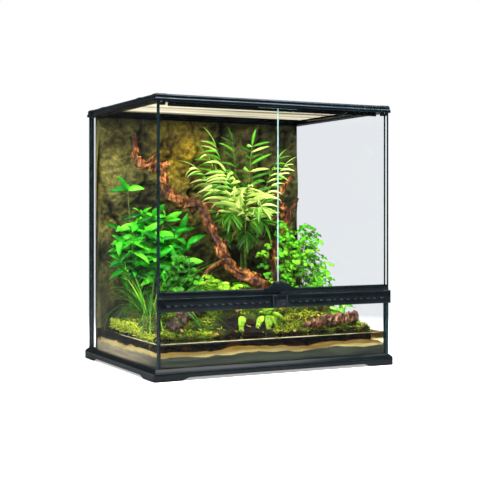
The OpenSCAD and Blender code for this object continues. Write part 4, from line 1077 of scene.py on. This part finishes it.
def blade(length, width, widest, sharp, fold, droop, along, wave=0.0):
    """A leaf blade along +X from the origin, in millimetres and radians. Returns its mesh.

    widest is the share of its length where it is broadest, sharp draws its ends out to points,
    fold lifts its sides off the midrib, droop is how far it bends down in all, along is the
    number of segments, and wave curls its edges."""
    bm = bmesh.new()
    bm.loops.layers.uv.new("blade")
    bmesh.ops.create_grid(bm, x_segments=along, y_segments=2, size=0.5, calc_uvs=True)
    power = math.log(0.5) / math.log(widest)
    for v in bm.verts:
        t, s = v.co.x + 0.5, v.co.y * 2
        half = width / 2 * max(0.05, math.sin(math.pi * t ** power) ** sharp)
        angle = droop * t
        run = length * math.sin(angle) / droop
        sink = length * (1 - math.cos(angle)) / droop
        lift = abs(s) * half * fold + wave * math.sin(t * 11) * s * half
        v.co = Vector((run + lift * math.sin(angle), s * half, lift * math.cos(angle) - sink)) * MM
    bmesh.ops.remove_doubles(bm, verts=bm.verts, dist=1e-5)
    bmesh.ops.recalc_face_normals(bm, faces=bm.faces)
    bmesh.ops.solidify(bm, geom=bm.faces[:], thickness=LEAF_THICK)
    bmesh.ops.recalc_face_normals(bm, faces=bm.faces)
    made = bpy.data.meshes.new("blade")
    bm.to_mesh(made)
    bm.free()
    made.attributes.new("tone", "FLOAT", "POINT")
    return made


# %% [markdown]
# Every plant stamps a few blades many times, each with its own tone, so that no two look dyed
# alike. Instances would be lighter, but a plant that is one mesh can be measured, exported
# and carried by its body like any other piece. A blade that would grow through the glass or
# the screen is left out, as scissors would trim it.

# %% Stamp
# The room inside the glass and under the screen, in metres from the middle
CABIN = Vector((0.2935, 0.2090, 0.598))


def start_plant():
    """An empty bmesh with the layers that stamped blades carry."""
    bm = bmesh.new()
    bm.verts.layers.float.new("tone")
    bm.loops.layers.uv.new("blade")
    return bm


def stamp(bm, mesh, at, along, up, size=1.0, tone=0.5):
    """Adds a copy of a mesh at a point in metres, its X along one direction and its Z near
    another, unless it would reach out of the cabin."""
    x = Vector(along).normalized()
    y = Vector(up).cross(x)
    y = y.normalized() if y.length > 1e-6 else x.orthogonal().normalized()
    z = x.cross(y)
    turn = Matrix((x, y, z)).transposed().to_4x4()
    copy = mesh.copy()
    copy.transform(Matrix.Translation(at) @ turn @ Matrix.Scale(size, 4))
    if any(abs(v.co.x) > CABIN.x or abs(v.co.y) > CABIN.y or v.co.z > CABIN.z for v in copy.vertices):
        bpy.data.meshes.remove(copy)
        return
    copy.attributes["tone"].data.foreach_set("value", [tone] * len(copy.vertices))
    bm.from_mesh(copy)
    bpy.data.meshes.remove(copy)


def add_solid(bm, part, tone, slot):
    """Moves another bmesh into a plant, in one tone and one of its materials."""
    data = bpy.data.meshes.new("part")
    part.to_mesh(data)
    part.free()
    data.attributes.new("tone", "FLOAT", "POINT").data.foreach_set("value", [tone] * len(data.vertices))
    for face in data.polygons:
        face.material_index = slot
    bm.from_mesh(data)
    bpy.data.meshes.remove(data)


# %% [markdown]
# A stem rises from the ground and arches over to where its leaf hangs, thinner all the way. A
# frond is such a stem with pairs of blades along it, small at its foot and its tip, none of
# them quite alike. Three points are enough for an arch: where it starts, where it is pulled
# to, and where it ends.

# %% Stems and fronds
# A stem's thickness at its end, as a share of that at its foot
STEM_TAPER = 0.4


def curve_point(a, c, b, t):
    """A point on the arch from a over c to b, and the direction there."""
    at = a * (1 - t) ** 2 + c * 2 * t * (1 - t) + b * t * t
    along = (c - a) * (2 - 2 * t) + (b - c) * (2 * t)
    return at, along.normalized()


def add_stem(bm, a, c, b, thick_mm, tone=0.5, slot=1, sides=5, steps=6):
    """A thin stem along an arch, thinner at its end. Points are in millimetres."""
    points = [curve_point(Vector(a), Vector(c), Vector(b), k / steps)[0] for k in range(steps + 1)]
    radii = [thick_mm * (1 - (1 - STEM_TAPER) * k / steps) for k in range(steps + 1)]
    add_solid(bm, sweep(points, radii, sides), tone, slot)


def add_frond(bm, root, over, tip, blades, pairs, rng, bare, splay, drop, size, stem_mm, tone,
              spread, taper):
    """A feathered frond: an arched stem with pairs of blades.

    bare is the share of the stem without blades, splay their angle off the stem, drop how far
    they hang, tone and spread their tone and how much it varies, and taper their size at the
    stem's foot, at its middle and at its tip."""
    a, c, b = Vector(root), Vector(over), Vector(tip)
    low, mid, high = taper
    add_stem(bm, a, c, b, stem_mm, tone)
    for k in range(pairs):
        t = bare + (0.98 - bare) * k / (pairs - 1)
        at, along = curve_point(a, c, b, t)
        side = along.cross(Vector((0, 0, 1)))
        side = side.normalized() if side.length > 0.05 else Vector((1, 0, 0))
        up = side.cross(along).normalized()
        scale = low + (mid - low) * (t / 0.45) if t < 0.45 else mid + (high - mid) * (t - 0.45) / 0.55
        for m in (-1, 1):
            lean = splay * rng.uniform(0.88, 1.12)
            out = along * math.cos(lean) + side * m * math.sin(lean)
            out = out + Vector((0, 0, -drop * rng.uniform(0.5, 1.4)))
            stamp(bm, rng.choice(blades), at * MM, out, up + side * 0.12 * m,
                  size * scale * rng.uniform(0.9, 1.1), tone + rng.uniform(-spread, spread))
    at, along = curve_point(a, c, b, 0.99)
    stamp(bm, blades[0], at * MM, along, (0, 0, 1), size * high * 1.2, tone)


# %% [markdown]
# Leaf green is never one green: young blades are yellow, old ones blue, the midrib is paler,
# and the waxy skin gives a white glint. A Subsurface setting is meant for thick flesh, so the
# light that comes through a thin blade from behind is a share of Translucent here. Each kind
# of leaf is one call with its three greens and its gloss.

# %% Leaf finishes
def leaf_skin(name, dark, middle, light, gloss, vein=0.25):
    """A waxy leaf in three greens, chosen by each blade's own tone, with a paler midrib."""
    made, tree, shader, output = start_material(name)
    place = add_node(tree, "TexCoord")
    tone = add_node(tree, "Attribute", attribute_name="tone")
    mottle = add_node(tree, "TexNoise", {"Scale": every(9), "Detail": 3}, {"Vector": place.outputs["Object"]})
    shift = add_node(tree, "MapRange", {"To Min": -0.16, "To Max": 0.16}, {"Value": mottle.outputs["Fac"]})
    level = add_node(tree, "Math", links={0: tone.outputs["Fac"], 1: shift.outputs[0]}, operation="ADD")
    green = add_node(tree, "ValToRGB", links={0: level.outputs[0]},
                     stops=[(0.15, dark), (0.5, middle), (0.85, light)])
    across = add_node(tree, "UVMap", uv_map="blade")
    split = add_node(tree, "SeparateXYZ", links={0: across.outputs[0]})
    off_rib = add_node(tree, "Math", {1: 0.5}, {0: split.outputs["Y"]}, operation="SUBTRACT")
    near_rib = add_node(tree, "Math", links={0: off_rib.outputs[0]}, operation="ABSOLUTE")
    rib = add_node(tree, "MapRange", {"From Min": 0.0, "From Max": 0.07, "To Min": 1.0, "To Max": 0.0},
                   {"Value": near_rib.outputs[0]})
    rib_part = add_node(tree, "Math", {1: vein}, {0: rib.outputs[0]}, operation="MULTIPLY")
    coloured = add_node(tree, "Mix", {7: linear(light)}, {0: rib_part.outputs[0], 6: green.outputs[0]},
                        data_type="RGBA")
    tree.links.new(coloured.outputs[2], shader.inputs["Base Color"])
    shader.inputs["Roughness"].default_value = gloss
    shader.inputs["IOR"].default_value = 1.45
    skin = add_node(tree, "Bump", {"Strength": 0.35, "Distance": 0.4 * MM}, {"Height": mottle.outputs["Fac"]})
    tree.links.new(skin.outputs[0], shader.inputs["Normal"])
    through = add_node(tree, "BsdfTranslucent", links={"Color": coloured.outputs[2]})
    lit = add_node(tree, "MixShader", {0: 0.3}, {1: shader.outputs[0], 2: through.outputs[0]})
    tree.links.new(lit.outputs[0], output.inputs["Surface"])
    return made


palm_leaf = leaf_skin("palm_leaf_wax", "#1d5c0c", "#5fb81c", "#e6f58c", 0.38)
bush_leaf = leaf_skin("glossy_bush_leaf", "#0b420a", "#26b41e", "#74f032", 0.3, 0.35)
blade_leaf = leaf_skin("grass_leaf_wax", "#123f08", "#3c8f14", "#93cf34", 0.4)
creeper_leaf = leaf_skin("creeper_leaf_wax", "#0a2c07", "#236f16", "#5fb32c", 0.34)
lobed_leaf = leaf_skin("young_fern_leaf", "#3d8a0c", "#8fd61c", "#d8f55a", 0.42)
fan_leaf = leaf_skin("maidenhair_leaf", "#1c660c", "#5cbf18", "#9fe83a", 0.45)
thick_leaf = leaf_skin("succulent_leaf_wax", "#2c7a12", "#69c62a", "#c3f07a", 0.22, 0.4)
moss_strand = leaf_skin("trailing_moss_strand", "#2f2c08", "#9aa41a", "#e6d84a", 0.6)
moss_sprig = leaf_skin("moss_sprig", "#2f420a", "#8aa51a", "#c9d43c", 0.6, 0.1)
dead_leaf = leaf_skin("dead_leaf", "#1d1008", "#7a4a22", "#c99a5e", 0.6, 0.3)

# %% [markdown]
# Stalks are smooth and a little waxy, fresh green on most plants and nearly black on the
# maidenhair fern. At this width nobody sees a grain, only that the tone changes every few
# millimetres, so that is all they have.

# %% Stalk finishes
def stalk_skin(name, dark, light, gloss):
    """A thin stalk that drifts between two tones."""
    made, tree, shader, output = start_material(name)
    place = add_node(tree, "TexCoord")
    streak = add_node(tree, "TexNoise", {"Scale": every(6), "Detail": 3}, {"Vector": place.outputs["Object"]})
    tint = add_node(tree, "ValToRGB", links={0: streak.outputs["Fac"]}, stops=[(0.35, dark), (0.65, light)])
    tree.links.new(tint.outputs[0], shader.inputs["Base Color"])
    shader.inputs["Roughness"].default_value = gloss
    return made


stalk = stalk_skin("green_plant_stalk", "#2c4a12", "#6f8a2c", 0.45)
dark_stalk = stalk_skin("wiry_dark_stalk", "#1a120a", "#4a3a1c", 0.4)

# %% [markdown]
# The palm at the back carries long arching fronds with narrow, pointed leaflets on both sides.
# A palm's look is in where its few fronds go, so they are listed one by one, and only the
# leaflets along each are left to seeded chance. The bright ones reach to the light in front,
# and the dull ones fill the crown behind.

# %% Palm
PALM_ROOT = (62, 78, 124)
# Direction, reach, height of the tip over the roots, arch, tone and leaflet size of each frond.
# A high tone paints a frond pale as lit, a low one dark as shaded
PALM_FRONDS = [
    (176, 128, 362, 70, 0.7, 0.85), (160, 70, 418, 40, 0.6, 1.05), (128, 30, 430, 20, 0.2, 0.8),
    (40, 60, 425, 40, 0.35, 0.95), (8, 112, 392, 50, 0.5, 0.7), (350, 112, 372, 50, 0.78, 0.7),
    (250, 96, 312, 70, 1.0, 1.15), (276, 84, 262, 70, 0.66, 0.9), (216, 96, 350, 70, 0.95, 1.1),
    (186, 112, 396, 50, 0.4, 0.75), (222, 84, 240, 90, 0.3, 0.9), (285, 76, 222, 70, 0.3, 0.9),
    (20, 96, 300, 60, 0.2, 0.8), (95, 40, 330, 60, 0.15, 0.9), (250, 60, 190, 60, 0.2, 0.85),
    (160, 92, 250, 80, 0.2, 0.9), (200, 70, 190, 70, 0.12, 0.9),
]


def polar(angle, reach):
    """A step of this reach at this angle in degrees, level with the ground."""
    return Vector((math.cos(math.radians(angle)) * reach, math.sin(math.radians(angle)) * reach, 0))


def up_by(height):
    """A step straight up."""
    return Vector((0, 0, height))


# Turning by this many degrees each time spreads shoots around a root, as growing plants do
GOLDEN = 137.5

rng = random.Random(11)
root = Vector(PALM_ROOT)
palm_blades = [blade(72, 9, 0.4, 0.75, 0.4, droop, 6) for droop in (0.5, 1.05, 1.8)]
palm = start_plant()
for k, (angle, reach, high, arch, tone, size) in enumerate(PALM_FRONDS):
    foot = root + polar(90 * k, 4) + up_by(120 + 10 * (k % 4))
    tip = root + polar(angle, reach) + up_by(high - 10)
    over = (foot + tip) / 2 + up_by(arch)
    add_frond(palm, foot, over, tip, palm_blades, 9, rng, bare=0.36, splay=0.8, drop=0.28, size=size,
              stem_mm=1.5, tone=tone, spread=0.32, taper=(0.75, 1.05, 0.7))
# Four canes carry the fronds
for k in range(4):
    add_stem(palm, root + polar(90 * k, 6) + up_by(-10), root + polar(90 * k, 9) + up_by(90),
             root + polar(90 * k, 4) + up_by(190), 3.2)
new_piece("parlour_palm", palm, [palm_leaf, stalk], ["palm"])

# %% [markdown]
# The bush in the left corner bears lance-shaped leaves in rings around each stem's tip, with
# looser ones below. One ring stands clear of the rest, high in front of the rock. A growth
# rule could branch it, but its outline matters most, so the tip of every shoot is listed,
# and the leaves turn their faces to the light on their own.

# %% Bush
BUSH_ROOT = (-230, 94, 122)
# How far each tip stands right of, behind and over the root, and the clear one comes first
BUSH_RINGS = [(-12, 8, 296), (30, 20, 236), (-22, 30, 196), (52, 4, 200), (-16, -34, 170),
              (78, 22, 158), (-24, 12, 128), (44, -34, 132), (92, -14, 108)]
# Shoots that fill the bush out
BUSH_FILL = [(-44, 8, 150), (-36, -20, 120), (24, -20, 196), (60, 24, 232), (8, 2, 214), (126, 4, 196),
             (88, 12, 222), (104, 0, 190), (60, -30, 96), (86, -22, 84), (110, -6, 100), (138, -6, 160),
             (-8, 6, 160), (34, -14, 150), (40, 30, 216), (66, 10, 150), (116, 20, 130), (-30, 14, 176),
             (84, -10, 160), (56, -34, 176), (124, -20, 120)]
# Rings of leaves on a shoot: place along it, number of leaves, size
LEAF_RINGS = [(1.0, 6, 1.0), (0.84, 4, 0.95), (0.62, 3, 0.85)]
rng = random.Random(5)
root = Vector(BUSH_ROOT)
bush_blades = [blade(54, 16, 0.42, 0.8, 0.25, droop, 5) for droop in (0.25, 0.55, 0.9)]
bush = start_plant()
for k, (dx, dy, high) in enumerate(BUSH_RINGS + BUSH_FILL):
    top = root + Vector((dx, dy, high))
    foot = root + Vector((dx * 0.1, dy * 0.1, -8))
    over = foot * 0.5 + top * 0.5 + Vector((-dx * 0.2, -dy * 0.2, 14))
    add_stem(bush, foot, over, top, 1.6)
    for ring, (t, count, size) in enumerate(LEAF_RINGS[:1] if k == 0 else LEAF_RINGS):
        at = curve_point(foot, over, top, t)[0]
        for m in range(count):
            out = polar(360 / count * m + 37 * k + 50 * ring + rng.uniform(-16, 16), 1)
            out.z = rng.uniform(-0.35, 0.9)
            facing = (rng.uniform(-0.5, 0.3), rng.uniform(-1.4, -0.4), 0.7)
            stamp(bush, rng.choice(bush_blades), at * MM, out, facing, size * rng.uniform(0.7, 1.1),
                  0.5 + rng.uniform(-0.36, 0.4))
new_piece("corner_bush", bush, [bush_leaf, stalk], ["bush"])

# %% [markdown]
# The grass is one tuft of long, narrow blades, most of them leaning to the light at the left
# pane and bent over by their own weight. Hair would draw it faster, but hair has no folded
# cross-section and no edge to catch the light, so it is stamped as all the leaves are.

# %% Grass
GRASS_ROOT = (-232, -18, 112)
GRASS_BLADES = 230
rng = random.Random(23)
root = Vector(GRASS_ROOT)
grass_blades = [blade(235, 3.8, 0.3, 0.5, 0.4, droop, 9) for droop in (0.9, 1.6, 2.5)]
grass = start_plant()
for k in range(GRASS_BLADES):
    # Two blades in three lean left
    way = polar(rng.uniform(95, 250) if k % 3 else GOLDEN * k, 1)
    at = root + way * rng.uniform(1, 17) + up_by(-6)
    rise = rng.uniform(0.9, 3.6)
    stamp(grass, rng.choice(grass_blades), at * MM, way + up_by(rise), -way + up_by(0.4),
          rng.uniform(0.45, 1.0), 0.5 + rng.uniform(-0.32, 0.32))
new_piece("grass_tuft", grass, [blade_leaf], ["grass"])

# %% [markdown]
# The creeping plant by the branch has small round leaves all along its thin shoots, darker
# than the rest. Its shoots turn around the root by the golden angle, which is how real ones
# keep out of each other's shade, and get lower the further out they stand.

# %% Round-leaf plant
CREEPER_ROOT = (-146, -8, 120)
CREEPER_SHOOTS = 30
# Places along a shoot, and the number of leaves at each
CREEPER_RINGS = ((1.0, 4), (0.85, 3), (0.7, 3), (0.55, 3), (0.4, 2))
rng = random.Random(31)
root = Vector(CREEPER_ROOT)
round_blades = [blade(19, 16, 0.5, 0.5, 0.2, droop, 4) for droop in (0.2, 0.5, 0.9)]
creeper = start_plant()
for n in range(CREEPER_SHOOTS):
    angle, reach = GOLDEN * n, 8 + 1.9 * n
    top = root + polar(angle, reach) + up_by(134 - 3.4 * n + 8 * math.sin(math.radians(83 * n)))
    foot = root + polar(angle, 3) + up_by(-8)
    over = (foot + top) / 2 + up_by(12)
    add_stem(creeper, foot, over, top, 0.9)
    for t, count in CREEPER_RINGS:
        at = curve_point(foot, over, top, t)[0]
        for m in range(count):
            out = polar(360 / count * m + 61 * n + rng.uniform(-20, 20), 1)
            out.z = rng.uniform(-0.1, 0.6)
            stamp(creeper, rng.choice(round_blades), at * MM, out, (-0.2, -0.9, 0.7),
                  rng.uniform(0.65, 1.05), 0.45 + rng.uniform(-0.3, 0.35))
new_piece("round_leaf_creeper", creeper, [creeper_leaf, stalk], ["round_leaf_plant"])

# %% [markdown]
# Two young ferns glow yellow-green where the lamp reaches them: one beside the branch, and a
# smaller one at the shore. A fern is a crown of the same feathered fronds as the palm's, only
# shorter, rounder and more of them, so one helper grows both.

# %% Young fern by the branch
rng = random.Random(43)
fern_blades = [blade(21, 10, 0.4, 0.7, 0.3, droop, 4) for droop in (0.2, 0.5, 0.9)]


def fern(root, high, reach, fronds, pairs, turn, size):
    """A crown of short feathered fronds around a root in millimetres."""
    made = start_plant()
    for n in range(fronds):
        way = polar(360 / fronds * n + turn, 1)
        top = root.z + (high - root.z) * rng.uniform(0.55, 1.0)
        foot = root + way * 2 + up_by(-8)
        tip = Vector((root.x, root.y, top)) + way * reach * rng.uniform(0.75, 1.0)
        over = Vector((root.x, root.y, top + 12)) + way * reach * 0.35
        add_frond(made, foot, over, tip, fern_blades, pairs, rng, bare=0.22, splay=0.95, drop=0.2,
                  size=size, stem_mm=0.9, tone=0.55, spread=0.3, taper=(0.7, 1.0, 0.5))
    return made


bright = fern(Vector((-72, -62, 126)), 222, 62, 12, 9, 20, 1.0)
new_piece("young_fern", bright, [lobed_leaf, stalk], ["bright_fern"])

# %% Young fern at the shore
# Its older fronds hang over the edge of the bank towards the water
SHORE_FRONDS = (((24, -106, 114), (6, -120, 138), (-12, -126, 74)),
                ((28, -108, 114), (26, -126, 140), (20, -136, 70)),
                ((32, -106, 114), (44, -122, 136), (50, -130, 78)),
                ((30, -104, 116), (54, -112, 140), (70, -118, 112)),
                ((-38, -104, 118), (-44, -126, 136), (-58, -140, 76)))
shore = fern(Vector((28, -104, 112)), 164, 34, 6, 6, 10, 0.62)
for foot, over, tip in SHORE_FRONDS:
    add_frond(shore, foot, over, tip, fern_blades, 8, rng, bare=0.3, splay=0.8, drop=0.5, size=0.8,
              stem_mm=0.9, tone=0.7, spread=0.2, taper=(0.9, 1.0, 0.5))
new_piece("shore_fern", shore, [lobed_leaf, stalk], ["front_fern"])

# %% [markdown]
# The maidenhair fern is a cloud: wiry dark stalks, each branching into thinner ones, hung
# with small fan-shaped leaflets that tip towards the light. A feathered frond would be too
# neat for it, so each stalk gets twigs by turns on both sides, and each twig its own few
# fans, all hanging a little.

# %% Maidenhair fern
FAN_ROOT = (200, 34, 124)
FAN_STALKS, FAN_TWIGS, FANS_ON_TWIG = 34, 7, 4
rng = random.Random(59)
root = Vector(FAN_ROOT)
fans = [blade(13, 14, 0.66, 0.75, 0.2, droop, 3) for droop in (0.1, 0.4)]
fan_fern = start_plant()
for n in range(FAN_STALKS):
    way = polar(GOLDEN * n + 20, 1)
    high = max(214 - 5.0 * n + 12 * math.sin(math.radians(77 * n)), 46)
    # The plant leans towards the light in the middle of the tank
    reach = (26 + 2.6 * n) * (1.0 if way.x > 0 else 1.6)
    tip = root + Vector((min(reach * way.x, 78), 0.8 * reach * way.y, high))
    foot = root + up_by(-8)
    over = root + Vector((0.35 * (tip.x - root.x), 0.35 * (tip.y - root.y), 1.05 * high))
    add_stem(fan_fern, foot, over, tip, 0.8, steps=8)
    tone = rng.uniform(0.3, 0.8)
    for k in range(FAN_TWIGS):
        at, along = curve_point(foot, over, tip, 0.4 + 0.1 * k)
        level = math.degrees(math.atan2(along.y, along.x))
        way = polar(level + (75 if k % 2 else -75) + rng.uniform(-20, 20), 1)
        twig = 30 * (1.1 - 0.08 * k)
        end = at + way * twig + up_by(-twig * rng.uniform(0.2, 0.8))
        add_stem(fan_fern, at, (at + end) / 2 + up_by(3), end, 0.4, sides=3, steps=2)
        for m in range(FANS_ON_TWIG):
            spot = at.lerp(end, 0.25 + 0.25 * m)
            # Few fans grow in a slanting gap, which leaves the upright branch behind it showing
            in_gap = abs(spot.x * 0.89 - spot.y * 0.455 - 104) < 13 and spot.z < 300
            if in_gap and rng.random() < 0.85:
                continue
            out = polar(math.degrees(math.atan2(way.y, way.x)) + (60 if m % 2 else -60), 1)
            out.z = rng.uniform(-0.9, 0.0)
            stamp(fan_fern, rng.choice(fans), spot * MM, out, (0, -0.7, 0.7), rng.uniform(0.7, 1.1),
                  tone + rng.uniform(-0.2, 0.2))
new_piece("fan_leaf_fern", fan_fern, [fan_leaf, dark_stalk], ["maidenhair_fern"])

# %% [markdown]
# At the right of the shore a low plant spreads a few broad, glossy leaves, almost succulent.
# There are so few that each shows by itself, so each has its own place, direction and width,
# and a blade made to its own length with more segments for a smoother bend.

# %% Broad-leaf plant
BROAD_ROOT = (240, -112, 92)
# Where each leaf starts and ends over the plan, and its width
BROAD_LEAVES = [((244, -112, 128), (176, -140, 98), 27), ((250, -116, 120), (282, -134, 84), 25),
                ((244, -104, 134), (212, -92, 150), 22), ((240, -104, 120), (272, -78, 168), 22),
                ((238, -108, 118), (204, -118, 130), 20), ((246, -100, 120), (262, -70, 132), 20),
                ((242, -116, 112), (226, -146, 92), 20), ((250, -108, 134), (284, -100, 126), 22)]
rng = random.Random(71)
root = Vector(BROAD_ROOT)
broad_plant = start_plant()
for start, end, wide in BROAD_LEAVES:
    start, end = Vector(start), Vector(end)
    add_stem(broad_plant, root + up_by(-6), (root + start) / 2 + up_by(10), start, 2.2, tone=0.7)
    leaf = blade((end - start).length * 1.05, wide, 0.5, 0.5, 0.2, 0.5, 8)
    stamp(broad_plant, leaf, start * MM, end - start + up_by(10), (0, -0.5, 1), 1.0,
          0.55 + rng.uniform(-0.2, 0.35))
new_piece("shore_broad_leaves", broad_plant, [thick_leaf, stalk], ["broad_leaf_plant"])

# %% [markdown]
# The mound at the water's edge is a tangle of thin trailing strands over a mossy core. The
# strands alone would let the eye through, so a row of lumpy balls, dark as the shade inside,
# fills it first. The strands then start on the balls and fall away sideways, with a few tiny
# leaves each.

# %% Moss mound
MOUND_BALLS, STRANDS_ON_BALL, LEAVES_ON_STRAND = 7, 30, 4
SHADE_TONE = 0.18
rng = random.Random(83)
mound = start_plant()
tuft = blade(9, 3.2, 0.4, 0.7, 0.3, 0.5, 3)


def swing(degrees):
    """The sine of an angle in degrees, for rows that wave a little."""
    return math.sin(math.radians(degrees))


for k in range(MOUND_BALLS):
    middle = Vector((98 + 20 * k, -92 + 14 * swing(70 * k), 96 + 5 * swing(30 * k)))
    size = 15.5 + 3 * swing(110 * k)
    core = bmesh.new()
    bmesh.ops.create_icosphere(core, subdivisions=3, radius=size * MM)
    for v in core.verts:
        v.co *= 1 + 0.22 * noise.fractal(v.co * 90 + middle, 0.8, 2.0, 3)
    bmesh.ops.translate(core, verts=core.verts, vec=middle * MM)
    add_solid(mound, core, SHADE_TONE, 0)
    for m in range(STRANDS_ON_BALL):
        way = Vector((rng.gauss(0, 1), rng.gauss(0, 1), abs(rng.gauss(0, 1)) * 0.8)).normalized()
        a = middle + way * size * 0.9
        side = way.cross(Vector((rng.gauss(0, 1), rng.gauss(0, 1), rng.gauss(0, 1)))).normalized()
        b = a + side * rng.uniform(14, 30) - up_by(rng.uniform(4, 14))
        over = (a + b) / 2 + way * rng.uniform(4, 10)
        add_stem(mound, a, over, b, 0.5, tone=rng.uniform(0.3, 1.0), slot=0, sides=3, steps=4)
        for j in range(LEAVES_ON_STRAND):
            at, along = curve_point(a, over, b, 0.2 + 0.25 * j)
            stamp(mound, tuft, at * MM, along + way * rng.uniform(-0.6, 0.6) + side * 0.3, way,
                  rng.uniform(0.6, 1.1), rng.uniform(0.25, 0.95))
new_piece("trailing_moss", mound, [moss_strand], ["moss_mound"])

# %% [markdown]
# Low sprigs of moss stand all over the sheet, thin on the patch painted as shade between the
# logs and thickest along its edge, where a fringe hangs over the water. A Hair system could
# scatter them, but it isn't a mesh that can be measured. So a sprig of three needles is stamped
# at seeded places, and each finds the ground under it by a ray from above.

# %% Moss sprigs
SPRIGS, FRINGE_SPRIGS = 1500, 760


def ground_at(x, y):
    """The height of the moss sheet at a point in millimetres, or None off its edge."""
    hit = ground.ray_cast(Vector((x, y, 400)) * MM, Vector((0, 0, -1)))[0]
    return hit.z / MM if hit else None


rng = random.Random(97)
sprig = start_plant()
needle = blade(11, 3.4, 0.35, 0.7, 0.2, 0.5, 3)
for m in range(3):
    stamp(sprig, needle, (0, 0, 0), polar(120 * m + 15, 1) + up_by(1.1), (0, 0, 1), 1.0 - 0.15 * m)
sprig_mesh = bpy.data.meshes.new("sprig")
sprig.to_mesh(sprig_mesh)
sprig.free()
carpet = start_plant()
placed = 0
while placed < SPRIGS:
    x, y = rng.uniform(-292, 290), rng.uniform(-178, 120)
    z = ground_at(x, y)
    if z is None:
        continue
    # Fewer stand in the plants' shade at the back, and hardly any on the patch painted as shade
    shaded = y > -60 and x > -250
    on_shade_patch = math.hypot((x + 40) / 78, (y + 122) / 62) < 1
    if (shaded and rng.random() < 0.7) or (on_shade_patch and rng.random() < 0.93):
        continue
    tone = 0.5 + 0.9 * noise.noise(Vector((x, y, 0)) / 32)
    stamp(carpet, sprig_mesh, Vector((x, y, z - 2.5)) * MM, polar(rng.uniform(0, 360), 1),
          (rng.uniform(-0.5, 0.5), rng.uniform(-0.8, 0.3), 1), rng.uniform(0.5, 1.35), tone)
    placed += 1
# The fringe hangs over the land's edge on the three sides that stand in the water
for n in range(FRINGE_SPRIGS):
    t = rng.random()
    if n % 5 == 4:
        x, y, way = 281 + 5 * rng.random(), -178 + 120 * t, (1, 0, 0)
    elif n % 2:
        x, y, way = -276 + 3 * rng.random(), -176 + 290 * t, (-1, 0, 0)
    else:
        x, y, way = -276 + 556 * t, -180 + 3 * rng.random(), (0, -1, 0)
    inward = Vector(way) * -12
    z = ground_at(x + inward.x, y + inward.y)
    if z is None:
        continue
    hang = rng.uniform(0, 1) ** 2 * (18 if x < -270 or x > 280 else 8)
    stamp(carpet, sprig_mesh, Vector((x, y, z - hang - 2)) * MM, polar(rng.uniform(0, 360), 1),
          Vector(way) + Vector((rng.uniform(-0.5, 0.5), rng.uniform(-0.5, 0.5), rng.uniform(0, 0.8))),
          rng.uniform(0.8, 1.5), 0.4 + 0.8 * rng.random())
new_piece("moss_sprigs", carpet, [moss_sprig])

# %% [markdown]
# Dead leaves and bark chips lie between the sprigs, curled as they dried. The same blade
# makes both: bent down for a fallen leaf, up for a curled one, and narrow and nearly flat for
# a chip.

# %% Leaf litter
LITTER = 170
litter = start_plant()
chips = [blade(24, 13, 0.5, 0.6, 0.35, droop, 3, wave=0.3) for droop in (0.6, -0.7)]
chips.append(blade(20, 7, 0.5, 0.25, 0.1, 0.1, 3))
for n in range(LITTER):
    x, y = rng.uniform(-270, 280), rng.uniform(-165, 60)
    z = ground_at(x, y)
    if z is not None:
        stamp(litter, rng.choice(chips), Vector((x, y, z + 1)) * MM,
              polar(rng.uniform(0, 360), 1) + up_by(rng.uniform(-0.2, 0.3)),
              (rng.uniform(-0.3, 0.3), rng.uniform(-0.3, 0.3), 1), rng.uniform(0.5, 1.2),
              rng.uniform(0.1, 0.9))
new_piece("leaf_litter", litter, [dead_leaf])
